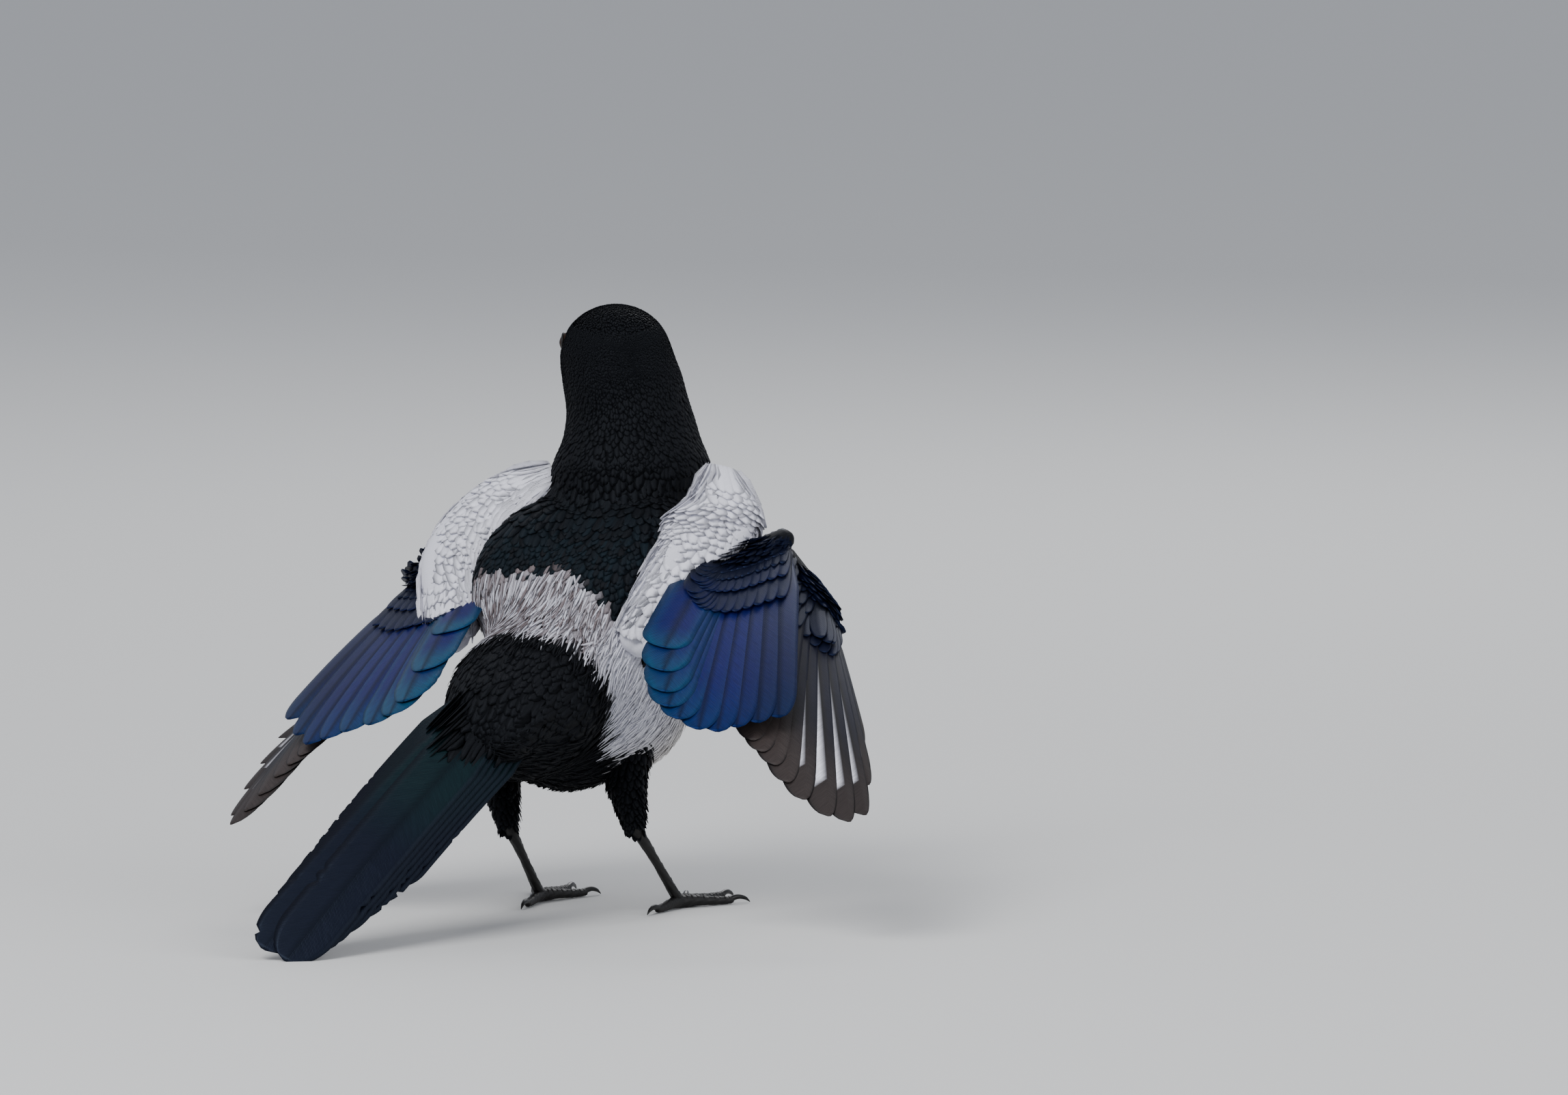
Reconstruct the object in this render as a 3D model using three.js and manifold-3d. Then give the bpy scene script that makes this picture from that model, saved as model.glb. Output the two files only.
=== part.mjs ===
// Eurasian magpie, life size, standing with its head up and its wings drooped half open.
// Millimetres, +Z up. The bird looks roughly along +Y, and its right side is on +X.
// The floor is z = 0, and the origin is the middle of the bird's bounding box there.
import * as THREE from 'three';
import { mergeVertices } from 'three/addons/utils/BufferGeometryUtils.js';
import Module from 'manifold-3d';

const wasm = await Module();
wasm.setup();

// Driving dimensions
const GAP = 0.3; // between two nodes that meet
const BOX_CENTRE = [-24.2, -30.4]; // middle of the bird's box in the modelling frame, x and y
const BODY_YAW = 25; // degrees, towards the bird's right
const BODY_PITCH = 32; // degrees that the back rises towards the neck
const HEAD_YAW = -15; // degrees, towards the bird's left
const HEAD_PITCH = -7; // degrees, bill a little down
const NAPE_FOOT = [1.4, 28, 172.3]; // where the midline of the back meets the neck
const HEAD_MIDDLE = [1.5, 60, 222];
const BLEND = 4; // how softly the masses of the body run into each other

const EYE_RADIUS = 4.7;
const EYE_PLACE = [12.5, 15.6, 3.2]; // forward, sideways and up from the middle of the head
const BILL_LENGTH = 36; // from the middle of its root, inside the face, to its tip
const BILL_ROOT = [20, 0, -3.5];
const BILL_DEPTH = 12.5;
const BILL_WIDTH = 11.5;
const BILL_DROOP = 3.2; // of the tip below the root
const NOSTRIL_PLACE = [36.5, 4.9, -1];
const LID_RADIUS = 3.7;
const LID_THICKNESS = 0.9;
const LID_RISE = 3; // of the lids' ring above the middle of the eye
const LID_TURN = 0.4; // how far the ring faces forward

const VANE_THICKNESS = 0.55;
const FLIGHT_STATIONS = [0, 0.35, 0.78, 0.94, 1];
const COVERT_STATIONS = [0, 0.55, 0.88, 1];

const TARSUS_RADIUS = 1.9;
const TOE_RADIUS = 2.1;
const CLAW_LENGTH = 9;

const COLOURS = {
  black: [0x0b0c10, 0.45, 0.1],
  white: [0xe4e3ea, 0.8, 0],
  blue: [0x12306b, 0.35, 0.35],
  slate: [0x24242b, 0.5, 0.1],
  tail: [0x14203a, 0.35, 0.35],
  horn: [0x17171a, 0.35, 0.05],
  eye: [0x1a100b, 0.08, 0],
};

const vec = (p) => new THREE.Vector3(p[0], p[1], p[2]);
const mix = (a, b, t) => a + (b - a) * t;
const rad = THREE.MathUtils.degToRad;

// A right-handed set of axes for a part that looks along a yaw and a pitch.
function axesFor(yaw, pitch) {
  const forward = vec([
    Math.sin(rad(yaw)) * Math.cos(rad(pitch)),
    Math.cos(rad(yaw)) * Math.cos(rad(pitch)),
    Math.sin(rad(pitch)),
  ]);
  const right = vec([Math.cos(rad(yaw)), -Math.sin(rad(yaw)), 0]);
  const up = right.clone().cross(forward);
  return { forward, right, up };
}

const body = axesFor(BODY_YAW, BODY_PITCH);
const head = axesFor(HEAD_YAW, HEAD_PITCH);

// A place on or in the trunk: back along the spine, out to the bird's right, down from the back.
function trunkPlace(back, right, down) {
  return vec(NAPE_FOOT)
    .addScaledVector(body.forward, -back)
    .addScaledVector(body.right, right)
    .addScaledVector(body.up, -down);
}

// A place on or in the head: forward, right and up from its middle.
function headPlace(forward, right, up) {
  return vec(HEAD_MIDDLE)
    .addScaledVector(head.forward, forward)
    .addScaledVector(head.right, right)
    .addScaledVector(head.up, up);
}

// The body's flesh and plumage as soft round masses: middle, axes, and reach along, across and up.
const masses = [
  { at: trunkPlace(14, 0, 42), axes: body, reach: [44, 35, 40] }, // breast
  { at: trunkPlace(52, 0, 44), axes: body, reach: [50, 38, 41] }, // trunk
  { at: trunkPlace(84, 0, 47), axes: body, reach: [38, 34, 38] }, // belly
  { at: trunkPlace(66, 22, 63), axes: body, reach: [31, 18, 23] }, // right thigh
  { at: trunkPlace(66, -22, 63), axes: body, reach: [31, 18, 23] }, // left thigh
  { at: trunkPlace(112, -2, 29), axes: body, reach: [36, 33, 27] }, // rump
  { at: trunkPlace(138, 0, 16), axes: body, reach: [24, 21, 14] }, // tail root
  { at: trunkPlace(32, 18, 21), axes: body, reach: [38, 21, 20] }, // right side of the back
  { at: trunkPlace(34, -27, 22), axes: body, reach: [38, 25, 22] }, // left side of the back
  { at: vec([8, 47, 170]), axes: head, reach: [30, 33, 24] }, // foot of the neck
  { at: vec([8, 54, 188]), axes: head, reach: [25, 25.5, 24] }, // neck
  { at: vec([5, 56, 207]), axes: head, reach: [22, 22.5, 18] }, // nape
  { at: headPlace(0, 0, 0), axes: head, reach: [24, 20.5, 18] }, // skull
  { at: headPlace(14, 0, -3), axes: head, reach: [15, 14, 12.5] }, // face
  { at: headPlace(9, 0, -9), axes: head, reach: [15, 14, 10] }, // throat
];

// Signed distance, near enough, from a point to the soft union of the masses.
function bodyField(point) {
  let sum = 0;
  for (const mass of masses) {
    const away = point.clone().sub(mass.at);
    const local = [
      away.dot(mass.axes.forward) / mass.reach[0],
      away.dot(mass.axes.right) / mass.reach[1],
      away.dot(mass.axes.up) / mass.reach[2],
    ];
    const scaled = Math.hypot(...local);
    const slope = Math.hypot(...local.map((value, i) => value / mass.reach[i]));
    const distance = slope > 0 ? (scaled * (scaled - 1)) / slope : -Math.min(...mass.reach);
    sum += Math.exp(-distance / BLEND);
  }
  return -BLEND * Math.log(sum);
}

// The point where a ray from inside the body leaves it, kept a set height above its skin.
function bodySurface(from, direction, grow) {
  let travelled = 0;
  for (let step = 0; step < 60; step += 1) {
    const distance = bodyField(from.clone().addScaledVector(direction, travelled)) - grow;
    travelled -= distance * 0.8;
    if (Math.abs(distance) < 0.004) break;
  }
  return from.clone().addScaledVector(direction, Math.max(travelled, 0.5));
}

// The line through the middle of the body, from the tail root to the crown.
const middleLine = new THREE.CatmullRomCurve3([
  trunkPlace(138, 0, 17),
  trunkPlace(105, 0, 34),
  trunkPlace(60, 0, 42),
  trunkPlace(18, 0, 36),
  vec([8, 52, 176]),
  vec([6, 55, 198]),
  vec([2.5, 60, 214]),
  vec([1, 61, 226]),
  vec([0.5, 61, 233]),
]);
const NECK_START = 0.535;
const HEAD_START = 0.672;

function solidOf(geometry) {
  const plain = geometry.clone();
  plain.deleteAttribute('normal');
  plain.deleteAttribute('uv');
  const merged = mergeVertices(plain, 1e-4);
  return new wasm.Manifold(new wasm.Mesh({
    numProp: 3,
    vertProperties: merged.attributes.position.array,
    triVerts: new Uint32Array(merged.index.array),
  }));
}

// A solid of points and faces, turned the right way out.
function closedSolid(points, faces) {
  const geometry = new THREE.BufferGeometry().setFromPoints(points);
  geometry.setIndex(faces);
  const solid = solidOf(geometry);
  if (solid.volume() > 0) return solid;
  geometry.setIndex([...faces].reverse());
  return solidOf(geometry);
}

function geometryOf(solid) {
  const mesh = solid.getMesh();
  const geometry = new THREE.BufferGeometry();
  geometry.setAttribute('position', new THREE.BufferAttribute(mesh.vertProperties, 3));
  geometry.setIndex(new THREE.BufferAttribute(mesh.triVerts, 1));
  return geometry;
}

function joined(solids) {
  return solids.reduce((all, solid) => all.add(solid));
}

function cutBy(solid, cutters) {
  return cutters.reduce((rest, cutter) => rest.subtract(cutter), solid);
}

function largestPiece(solid) {
  const pieces = solid.decompose();
  return pieces.reduce((best, piece) => (piece.volume() > best.volume() ? piece : best));
}

// A closed skin over rings of points, with a point or the middle of the ring at each end.
function skinOver(rings, startPole, endPole) {
  const sides = rings[0].length;
  const points = rings.flat();
  const middle = (ring) => ring.reduce((sum, p) => sum.add(p), new THREE.Vector3()).divideScalar(sides);
  const start = points.length;
  points.push(startPole ?? middle(rings[0]));
  const end = points.length;
  points.push(endPole ?? middle(rings[rings.length - 1]));
  const faces = [];
  for (let side = 0; side < sides; side += 1) {
    const next = (side + 1) % sides;
    for (let ring = 0; ring + 1 < rings.length; ring += 1) {
      const low = ring * sides;
      const high = low + sides;
      faces.push(low + side, low + next, high + next, low + side, high + next, high + side);
    }
    const last = (rings.length - 1) * sides;
    faces.push(start, next, side, end, last + side, last + next);
  }
  return closedSolid(points, faces);
}

// Directions round an axis, beginning on the side of a hint.
function spokes(axis, hint, sides) {
  const first = hint.clone().addScaledVector(axis, -hint.dot(axis)).normalize();
  const second = axis.clone().cross(first);
  return Array.from({ length: sides }, (_, i) => {
    const angle = (2 * Math.PI * i) / sides;
    return first.clone().multiplyScalar(Math.cos(angle)).addScaledVector(second, Math.sin(angle));
  });
}

const CAP_TILTS = [22, 42, 60, 76]; // degrees, rings that close a rounded end

// A length of the body between two places on its middle line, rounded off at an end or cut flat.
function bodyLength({ from, to, rings, sides, roundStart, roundEnd, grow = 0 }) {
  const loops = [];
  const addLoop = (at, tilt, shift) => {
    const axis = middleLine.getTangent(at);
    const centre = middleLine.getPoint(at).addScaledVector(axis, shift);
    loops.push(spokes(axis, body.up, sides).map((spoke) => {
      const direction = spoke.multiplyScalar(Math.cos(rad(tilt))).addScaledVector(axis, Math.sin(rad(tilt)));
      return bodySurface(centre, direction, grow);
    }));
  };
  if (roundStart) [...CAP_TILTS].reverse().forEach((tilt) => addLoop(from, -tilt, 0));
  for (let i = 0; i < rings; i += 1) {
    const flatStart = i === 0 && !roundStart;
    const flatEnd = i === rings - 1 && !roundEnd;
    const shift = (flatStart ? GAP / 2 - grow : 0) + (flatEnd ? grow - GAP / 2 : 0);
    addLoop(mix(from, to, i / (rings - 1)), 0, shift);
  }
  if (roundEnd) CAP_TILTS.forEach((tilt) => addLoop(to, tilt, 0));
  const pole = (at, sign) => bodySurface(
    middleLine.getPoint(at),
    middleLine.getTangent(at).multiplyScalar(sign),
    grow,
  );
  return skinOver(loops, roundStart ? pole(from, -1) : null, roundEnd ? pole(to, 1) : null);
}

// A rounded limb along a smooth line through points, with its own radius at each of them.
function limb(points, radii, options = {}) {
  const { sides = 12, steps = 10, grow = 0, flatten = 1, hint = body.up } = options;
  const curve = new THREE.CatmullRomCurve3(points.map(vec));
  const radiusAt = (t) => {
    const place = Math.min(t * (radii.length - 1), radii.length - 1 - 1e-9);
    const i = Math.floor(place);
    return mix(radii[i], radii[i + 1], place - i) + grow;
  };
  const loops = [];
  const addLoop = (t, shrink, push) => {
    const axis = curve.getTangent(t);
    const centre = curve.getPoint(t).addScaledVector(axis, push * radiusAt(t));
    loops.push(spokes(axis, hint, sides).map((spoke, i) => {
      const rise = Math.cos((2 * Math.PI * i) / sides);
      const squash = mix(1, flatten, rise * rise);
      return centre.clone().addScaledVector(spoke, radiusAt(t) * shrink * squash);
    }));
  };
  addLoop(0, 0.7, -0.6);
  for (let i = 0; i <= steps; i += 1) addLoop(i / steps, 1, 0);
  addLoop(1, 0.7, 0.6);
  return skinOver(loops);
}

// One feather vane: a thin closed blade, ridged along its shaft, with a rounded tip.
// spot(t) gives its place, its outer side and its upper side from the root (0) to the tip (1).
function vane({ spot, width, stations = COVERT_STATIONS, outerShare = 0.45, tipFrom = 0.76, grow = 0 }) {
  const top = [];
  const bottom = [];
  for (const t of stations) {
    const { at, side, up } = spot(t);
    const root = Math.min(1, 0.42 + 2.4 * t);
    const end = t > tipFrom ? Math.sqrt(1 - ((t - tipFrom) / (1 - tipFrom)) ** 2) : 1;
    const half = width * root * Math.max(end, 0.16) + 2 * grow;
    const ridge = half * 0.035;
    const thickness = VANE_THICKNESS * mix(1, 0.75, t) + 2 * grow;
    const edges = [outerShare * half, 0, -(1 - outerShare) * half];
    const lifts = [-ridge + grow, grow, -ridge + grow];
    edges.forEach((edge, i) => {
      const upper = at.clone().addScaledVector(side, edge).addScaledVector(up, lifts[i]);
      top.push(upper);
      bottom.push(upper.clone().addScaledVector(up, -thickness));
    });
  }
  const points = [...top, ...bottom];
  const under = top.length;
  const faces = [];
  const quad = (a, b, c, d) => faces.push(a, b, c, a, c, d);
  const last = (stations.length - 1) * 3;
  for (let row = 0; row < last; row += 3) {
    for (let i = row; i < row + 2; i += 1) {
      quad(i, i + 1, i + 4, i + 3);
      faces.push(under + i, under + i + 4, under + i + 1, under + i, under + i + 3, under + i + 4);
    }
    quad(row, row + 3, under + row + 3, under + row);
    quad(row + 2, under + row + 2, under + row + 5, row + 5);
  }
  for (let i = 0; i < 2; i += 1) {
    quad(i, under + i, under + i + 1, i + 1);
    quad(last + i, last + i + 1, under + last + i + 1, under + last + i);
  }
  return closedSolid(points, faces);
}

// The sheet that a row of feathers lies on: u runs outwards along the row, t from root to tip.
// Its roots and tips are laid on one plane through a point, and every feather then arches alike.
function featherSheet({ roots, tips, through, up, outward }) {
  const lay = (place) => {
    const point = vec(place);
    return point.addScaledVector(up, -point.clone().sub(through).dot(up));
  };
  const rootLine = new THREE.CatmullRomCurve3(roots.map(lay));
  const tipLine = new THREE.CatmullRomCurve3(tips.map(lay));
  return (u, t) => {
    const root = rootLine.getPoint(u);
    const along = tipLine.getPoint(u).sub(root);
    const distance = along.length() * t;
    along.normalize();
    const side = along.clone().cross(up);
    if (side.dot(outward) < 0) side.negate();
    const share = distance / WING_SPAN;
    const arch = WING_ARCH * 4 * share * (1 - share);
    const at = root.addScaledVector(along, distance).addScaledVector(up, arch);
    return { at, side, up: up.clone() };
  };
}

// A row of feathers on such a sheet, from one share of its length to another, lifted off it.
// The row drops away outwards, so that every feather lies over the next one outwards.
function featherRow(sheet, row) {
  const { count, from = 0, to = 1, lift = 0, drop = 0, uFrom = 0, uTo = 1 } = row;
  const share = (value, i) => (Array.isArray(value) ? mix(value[0], value[1], i / (count - 1)) : value);
  return Array.from({ length: count }, (_, i) => {
    const u = share([uFrom, uTo], i);
    const spot = (t) => {
      const place = sheet(u, mix(from, to, t));
      place.at.addScaledVector(place.up, lift - drop * u);
      return place;
    };
    return vane({ ...row, spot, width: share(row.width, i), outerShare: share(row.outer ?? 0.45, i) });
  });
}

// Where each wing's bones and feather tips are. The tips run outwards along the wing, and armUp
// and handUp say which way the upper side of each part of the wing faces.
const WINGS = {
  R: {
    elbow: [43, -12, 137],
    wrist: [70.5, 7, 149.5],
    handEnd: [88, -18, 128.5],
    armTips: [[22, -62, 104], [22, -83, 91], [26, -95, 83], [39, -102, 78], [53, -98, 81], [68, -92, 85]],
    handTips: [[58, -92, 73], [66, -102, 67], [76, -116, 58], [92, -128, 50], [104, -123, 53],
      [102, -89, 75]],
    armUp: [0, -0.547, 0.837],
    handUp: [0, -0.547, 0.837],
    outward: [1, 0.3, 0],
  },
  L: {
    elbow: [-56.4, 33.9, 136.8],
    wrist: [-78.5, 61, 126.5],
    handEnd: [-95.5, 40, 107],
    armTips: [[-64, -8, 104], [-78, -43, 82], [-90, -48, 74], [-108, -40, 69], [-122, -33, 66],
      [-129, -7, 73]],
    handTips: [[-122, -29, 59], [-132, -31, 53], [-144, -40, 43], [-153, -43, 36], [-146, -17, 49],
      [-135, 13, 66]],
    armUp: [-0.40, -0.36, 0.84],
    handUp: [-0.47, -0.29, 0.83],
    outward: [-1, 0.3, 0],
  },
};
const WING_SPAN = 180; // root to tip of a feather that would arch over the whole wing
const WING_ARCH = 7;
const ARM_LIFT = 5.6; // innermost tertial, above the bones of the forearm
const ARM_DROP = 7.2; // from there to the outermost secondary
const ROW_STEP = 2.2; // a tier of coverts lies this much above the one below it
const HAND_SINK = 9.5; // the hand's bones, below the plane of the wing
const HAND_LIFT = 1.8; // innermost primary, above the bones of the hand
const HAND_DROP = 6.6;

function alongBone(a, b, t) {
  return a.map((value, i) => mix(value, b[i], t));
}

function sunk(place, up, depth) {
  return vec(place).addScaledVector(up, -depth).toArray();
}

// The forearm with its coverts and the ten secondaries, the innermost three being tertials.
function forearm(wing, grow = 0) {
  const up = vec(wing.armUp).normalize();
  const middle = alongBone(wing.elbow, wing.wrist, 0.5);
  const bone = limb([wing.elbow, middle, wing.wrist], [7.4, 7, 6], {
    grow, sides: 8, steps: 2, hint: up,
  });
  const sheet = featherSheet({
    roots: [-0.1, 0.12, 0.5, 0.97].map((t) => alongBone(wing.elbow, wing.wrist, t)),
    tips: wing.armTips,
    through: vec(wing.wrist),
    up,
    outward: vec(wing.outward),
  });
  const row = { drop: ARM_DROP, grow };
  return joined([
    bone,
    ...featherRow(sheet, {
      ...row, count: 10, width: [17, 16], outer: 0.4, stations: FLIGHT_STATIONS, lift: ARM_LIFT,
    }),
    ...featherRow(sheet, { ...row, count: 6, width: 14, to: 0.34, lift: ARM_LIFT + ROW_STEP }),
  ]);
}

// The hand with its ten primaries, their coverts and the alula.
function hand(wing, grow = 0) {
  const up = vec(wing.handUp).normalize();
  const bones = [wing.wrist, alongBone(wing.wrist, wing.handEnd, 0.5), wing.handEnd];
  const sunkBones = bones.map((place) => sunk(place, up, HAND_SINK));
  const bone = limb(sunkBones, [4.5, 5.4, 5.4], { grow, sides: 8, steps: 2, hint: up });
  const sheet = featherSheet({
    roots: [0.05, 0.4, 0.75, 1].map((t) => alongBone(sunkBones[0], sunkBones[2], t)),
    tips: wing.handTips,
    through: vec(sunkBones[0]),
    up,
    outward: vec(wing.outward),
  });
  const row = { drop: HAND_DROP, grow };
  return joined([
    bone,
    ...featherRow(sheet, {
      ...row, count: 10, width: [17, 13], outer: [0.4, 0.3], stations: FLIGHT_STATIONS, lift: HAND_LIFT,
    }),
    ...featherRow(sheet, {
      ...row, count: 4, width: 11, to: 0.26, uFrom: 0.25, uTo: 0.9, lift: HAND_LIFT + ROW_STEP,
    }),
    ...featherRow(sheet, {
      ...row, count: 2, width: 8, to: 0.2, uFrom: 0.65, uTo: 0.85, lift: HAND_LIFT + 2 * ROW_STEP,
    }),
  ]);
}

// The white shoulder: a flat pad over the upper arm, tiled with the scapulars.
const SHOULDERS = {
  R: {
    line: [[45, 15, 170], [45, 3, 157], [31, -14, 140], [12, -34, 114]],
    up: [0.4, -0.62, 0.68],
    outward: [1, 0.3, 0],
  },
  L: {
    line: [[-31, 45, 168], [-51, 43, 156], [-65, 30, 138], [-65, 6, 110]],
    up: [-0.5, -0.5, 0.7],
    outward: [-1, 0.3, 0],
  },
};
const PAD_HALF_WIDTH = [10, 16, 15, 10];
const PAD_FLATNESS = 0.45;

function shoulder(shape) {
  const pad = limb(shape.line, PAD_HALF_WIDTH, {
    sides: 12, steps: 6, flatten: PAD_FLATNESS, hint: vec(shape.up),
  });
  const line = new THREE.CatmullRomCurve3(shape.line.map(vec));
  // u runs from the inner edge of the pad to the outer one, over its crown.
  const surface = (u, t) => {
    const within = Math.min(t, 1);
    const along = line.getTangent(within);
    const up = vec(shape.up);
    up.addScaledVector(along, -up.dot(along)).normalize();
    const side = along.clone().cross(up);
    if (side.dot(vec(shape.outward)) < 0) side.negate();
    const place = within * (PAD_HALF_WIDTH.length - 1);
    const i = Math.min(Math.floor(place), PAD_HALF_WIDTH.length - 2);
    const half = mix(PAD_HALF_WIDTH[i], PAD_HALF_WIDTH[i + 1], place - i);
    const angle = mix(-70, 70, u);
    const at = line.getPoint(within)
      .addScaledVector(along, (t - within) * 60)
      .addScaledVector(side, half * Math.sin(rad(angle)))
      .addScaledVector(up, half * PAD_FLATNESS * Math.cos(rad(angle)));
    const lean = rad(angle * 0.6);
    return {
      at,
      side: side.clone().multiplyScalar(Math.cos(lean)).addScaledVector(up, -Math.sin(lean)),
      up: up.clone().multiplyScalar(Math.cos(lean)).addScaledVector(side, Math.sin(lean)),
    };
  };
  return joined([pad, ...featherRow(surface, { count: 4, width: 9, from: 0.62, to: 1.15, lift: 0.8 })]);
}

// The tail: twelve graduated feathers, the middle pair longest and on top.
const TAIL_ROOT = trunkPlace(128, 0, 14);
const TAIL_TIP = vec([-134, -168, -0.7]);
const TAIL_ROLL = 24; // degrees that the tail's upper side turns towards the bird's right
const TAIL_GRADES = [1, 0.94, 0.86, 0.78, 0.7, 0.62];
const TAIL_LAYER = 0.9;

const tailAxis = TAIL_TIP.clone().sub(TAIL_ROOT).normalize();
const tailSide = body.right.clone().addScaledVector(tailAxis, -body.right.dot(tailAxis)).normalize()
  .applyAxisAngle(tailAxis, -rad(TAIL_ROLL));
const tailUp = tailSide.clone().cross(tailAxis).negate();
if (tailUp.z < 0) tailUp.negate();

function tailFeather(pair, sign) {
  const length = TAIL_TIP.distanceTo(TAIL_ROOT) * TAIL_GRADES[pair];
  const depth = TAIL_LAYER * (2 * pair + (sign > 0 ? 0 : 1));
  const spot = (t) => ({
    at: TAIL_ROOT.clone()
      .addScaledVector(tailAxis, length * t)
      .addScaledVector(tailSide, sign * mix(2.5 + pair * 2.3, 5.5 + pair * 1.6, t))
      .addScaledVector(tailUp, 5 - depth + 3 * Math.sin(Math.PI * t)),
    side: tailSide.clone().multiplyScalar(sign),
    up: tailUp,
  });
  return vane({ spot, width: mix(25, 19, pair / 5), stations: FLIGHT_STATIONS, outerShare: 0.45, tipFrom: 0.86 });
}

function tail() {
  const blockLine = [-4, 8, 20].map((back) => TAIL_ROOT.clone().addScaledVector(tailAxis, back).toArray());
  const block = limb(blockLine, [10, 9, 7], { hint: tailUp, steps: 3 });
  const feathers = TAIL_GRADES.flatMap((_, pair) => [tailFeather(pair, 1), tailFeather(pair, -1)]);
  return joined([block, ...feathers]);
}

// A leg: the feathered shank, the bare tarsus, four toes and their claws.
const LEGS = {
  L: { hip: [-36, 4, 84], knee: [-44.5, -4, 60], heel: [-42, -18, 36.5], foot: [-29.2, 12, 3], toeYaw: 18 },
  R: { hip: [8, -8, 84], knee: [6, -22, 60], heel: [9.4, -33, 38], foot: [27.5, -8, 3], toeYaw: 30 },
};
const TOES = [
  { turn: -24, length: 24 }, // inner front toe
  { turn: 2, length: 33 }, // middle toe
  { turn: 28, length: 25 }, // outer front toe
  { turn: 178, length: 18 }, // hind toe
];

function shank(leg, grow = 0) {
  const end = alongBone(leg.knee, leg.heel, 0.86);
  return limb([leg.hip, leg.knee, end], [15, 9, 4.2], {
    sides: 14, steps: 7, grow, hint: vec([0, 1, 0]),
  });
}

function tarsus(leg, grow = 0) {
  const shaft = limb([leg.heel, alongBone(leg.heel, leg.foot, 0.5), leg.foot],
    [TARSUS_RADIUS + 0.7, TARSUS_RADIUS - 0.1, TARSUS_RADIUS + 0.2],
    { grow, sides: 8, steps: 4, hint: vec([0, 1, 0]) });
  const stub = limb([alongBone(leg.knee, leg.heel, 0.7), leg.heel], [2.4, 2.6], {
    grow, sides: 8, steps: 1,
  });
  return shaft.add(stub);
}

function toeLine(leg, toe) {
  const yaw = rad(leg.toeYaw + toe.turn);
  const reach = (distance, height) => [
    leg.foot[0] + Math.sin(yaw) * distance,
    leg.foot[1] + Math.cos(yaw) * distance,
    height,
  ];
  return [reach(0, 3), reach(toe.length * 0.35, 2.6), reach(toe.length * 0.7, 1.8), reach(toe.length, 1.6)];
}

function foot(leg, grow = 0) {
  const radii = [0.6, 0, -0.3, -0.5].map((change) => TOE_RADIUS + change);
  const options = { grow, sides: 6, steps: 4, hint: vec([0, 0, 1]) };
  return joined(TOES.map((toe) => limb(toeLine(leg, toe), radii, options)));
}

function claw(leg, toe) {
  const line = toeLine(leg, toe);
  const end = vec(line[3]);
  const ahead = end.clone().sub(vec(line[2])).normalize();
  const arc = (share, height) => end.clone().addScaledVector(ahead, CLAW_LENGTH * share).setZ(height).toArray();
  return limb([arc(-0.15, 1.9), arc(0.35, 2.9), arc(0.75, 2.1), arc(1, 0.5)], [1.3, 1.1, 0.8, 0.3],
    { sides: 6, steps: 3, hint: vec([0, 0, 1]) });
}

// The bill: an upper and a lower half that close on a fine line.
function billHalf(upper) {
  const rings = [];
  const count = 9;
  const sides = 10;
  for (let i = 0; i < count; i += 1) {
    const t = i / (count - 1);
    const taper = (1 - t ** 1.7) * 0.94 + 0.06;
    const reach = upper ? t : t * 0.93;
    const along = BILL_ROOT[0] + BILL_LENGTH * reach;
    const droop = -BILL_DROOP * reach ** 2.4;
    const depth = BILL_DEPTH * (upper ? 0.56 : 0.4) * taper;
    const half = (BILL_WIDTH / 2) * taper * (upper ? 1 : 0.92);
    const edge = BILL_ROOT[2] + droop + (upper ? GAP / 2 : -GAP / 2);
    const ring = [];
    for (let side = 0; side < sides; side += 1) {
      const angle = (Math.PI * side) / (sides - 1);
      const rise = Math.sin(angle) ** 0.9 * depth * (upper ? 1 : -1);
      ring.push(headPlace(along, Math.cos(angle) * half, edge + rise));
    }
    rings.push(ring);
  }
  return skinOver(rings);
}

// Stiff locks of feathers that lie forward over the root of the bill.
function bristleLocks(grow = 0) {
  return joined([-66, -33, 0, 33, 66].map((angle) => {
    const across = Math.sin(rad(angle));
    const upright = Math.cos(rad(angle));
    const spot = (t) => ({
      at: headPlace(mix(21, 35, t), across * mix(9.6, 6, t), mix(8.4, 6.6, t) * upright - 3.3),
      side: head.right.clone().multiplyScalar(upright).addScaledVector(head.up, -across),
      up: head.up.clone().multiplyScalar(upright).addScaledVector(head.right, across),
    });
    return vane({ spot, width: 6, outerShare: 0.5, grow });
  }));
}

// An opening on each side of the upper bill, below the locks.
function nostrils() {
  return [1, -1].map((sign) => {
    const geometry = new THREE.SphereGeometry(1, 8, 6);
    geometry.scale(1.1, 2.4, 0.9);
    geometry.rotateZ(-rad(HEAD_YAW));
    const place = headPlace(NOSTRIL_PLACE[0], NOSTRIL_PLACE[1] * sign, NOSTRIL_PLACE[2]);
    geometry.translate(place.x, place.y, place.z);
    return solidOf(geometry);
  });
}

// A soft ring of skin round an eye.
function eyelids(sign) {
  const outward = head.right.clone().multiplyScalar(sign).addScaledVector(head.forward, LID_TURN).normalize();
  const geometry = new THREE.TorusGeometry(LID_RADIUS, LID_THICKNESS, 5, 14);
  geometry.applyQuaternion(new THREE.Quaternion().setFromUnitVectors(vec([0, 0, 1]), outward));
  const place = eyeCentre(sign).addScaledVector(outward, LID_RISE);
  geometry.translate(place.x, place.y, place.z);
  return solidOf(geometry);
}

function eyeCentre(sign) {
  return headPlace(EYE_PLACE[0], EYE_PLACE[1] * sign, EYE_PLACE[2]);
}

function ball(centre, radius, grow = 0) {
  const geometry = new THREE.SphereGeometry(radius + grow, 14, 9);
  geometry.translate(centre.x, centre.y, centre.z);
  return solidOf(geometry);
}

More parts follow.
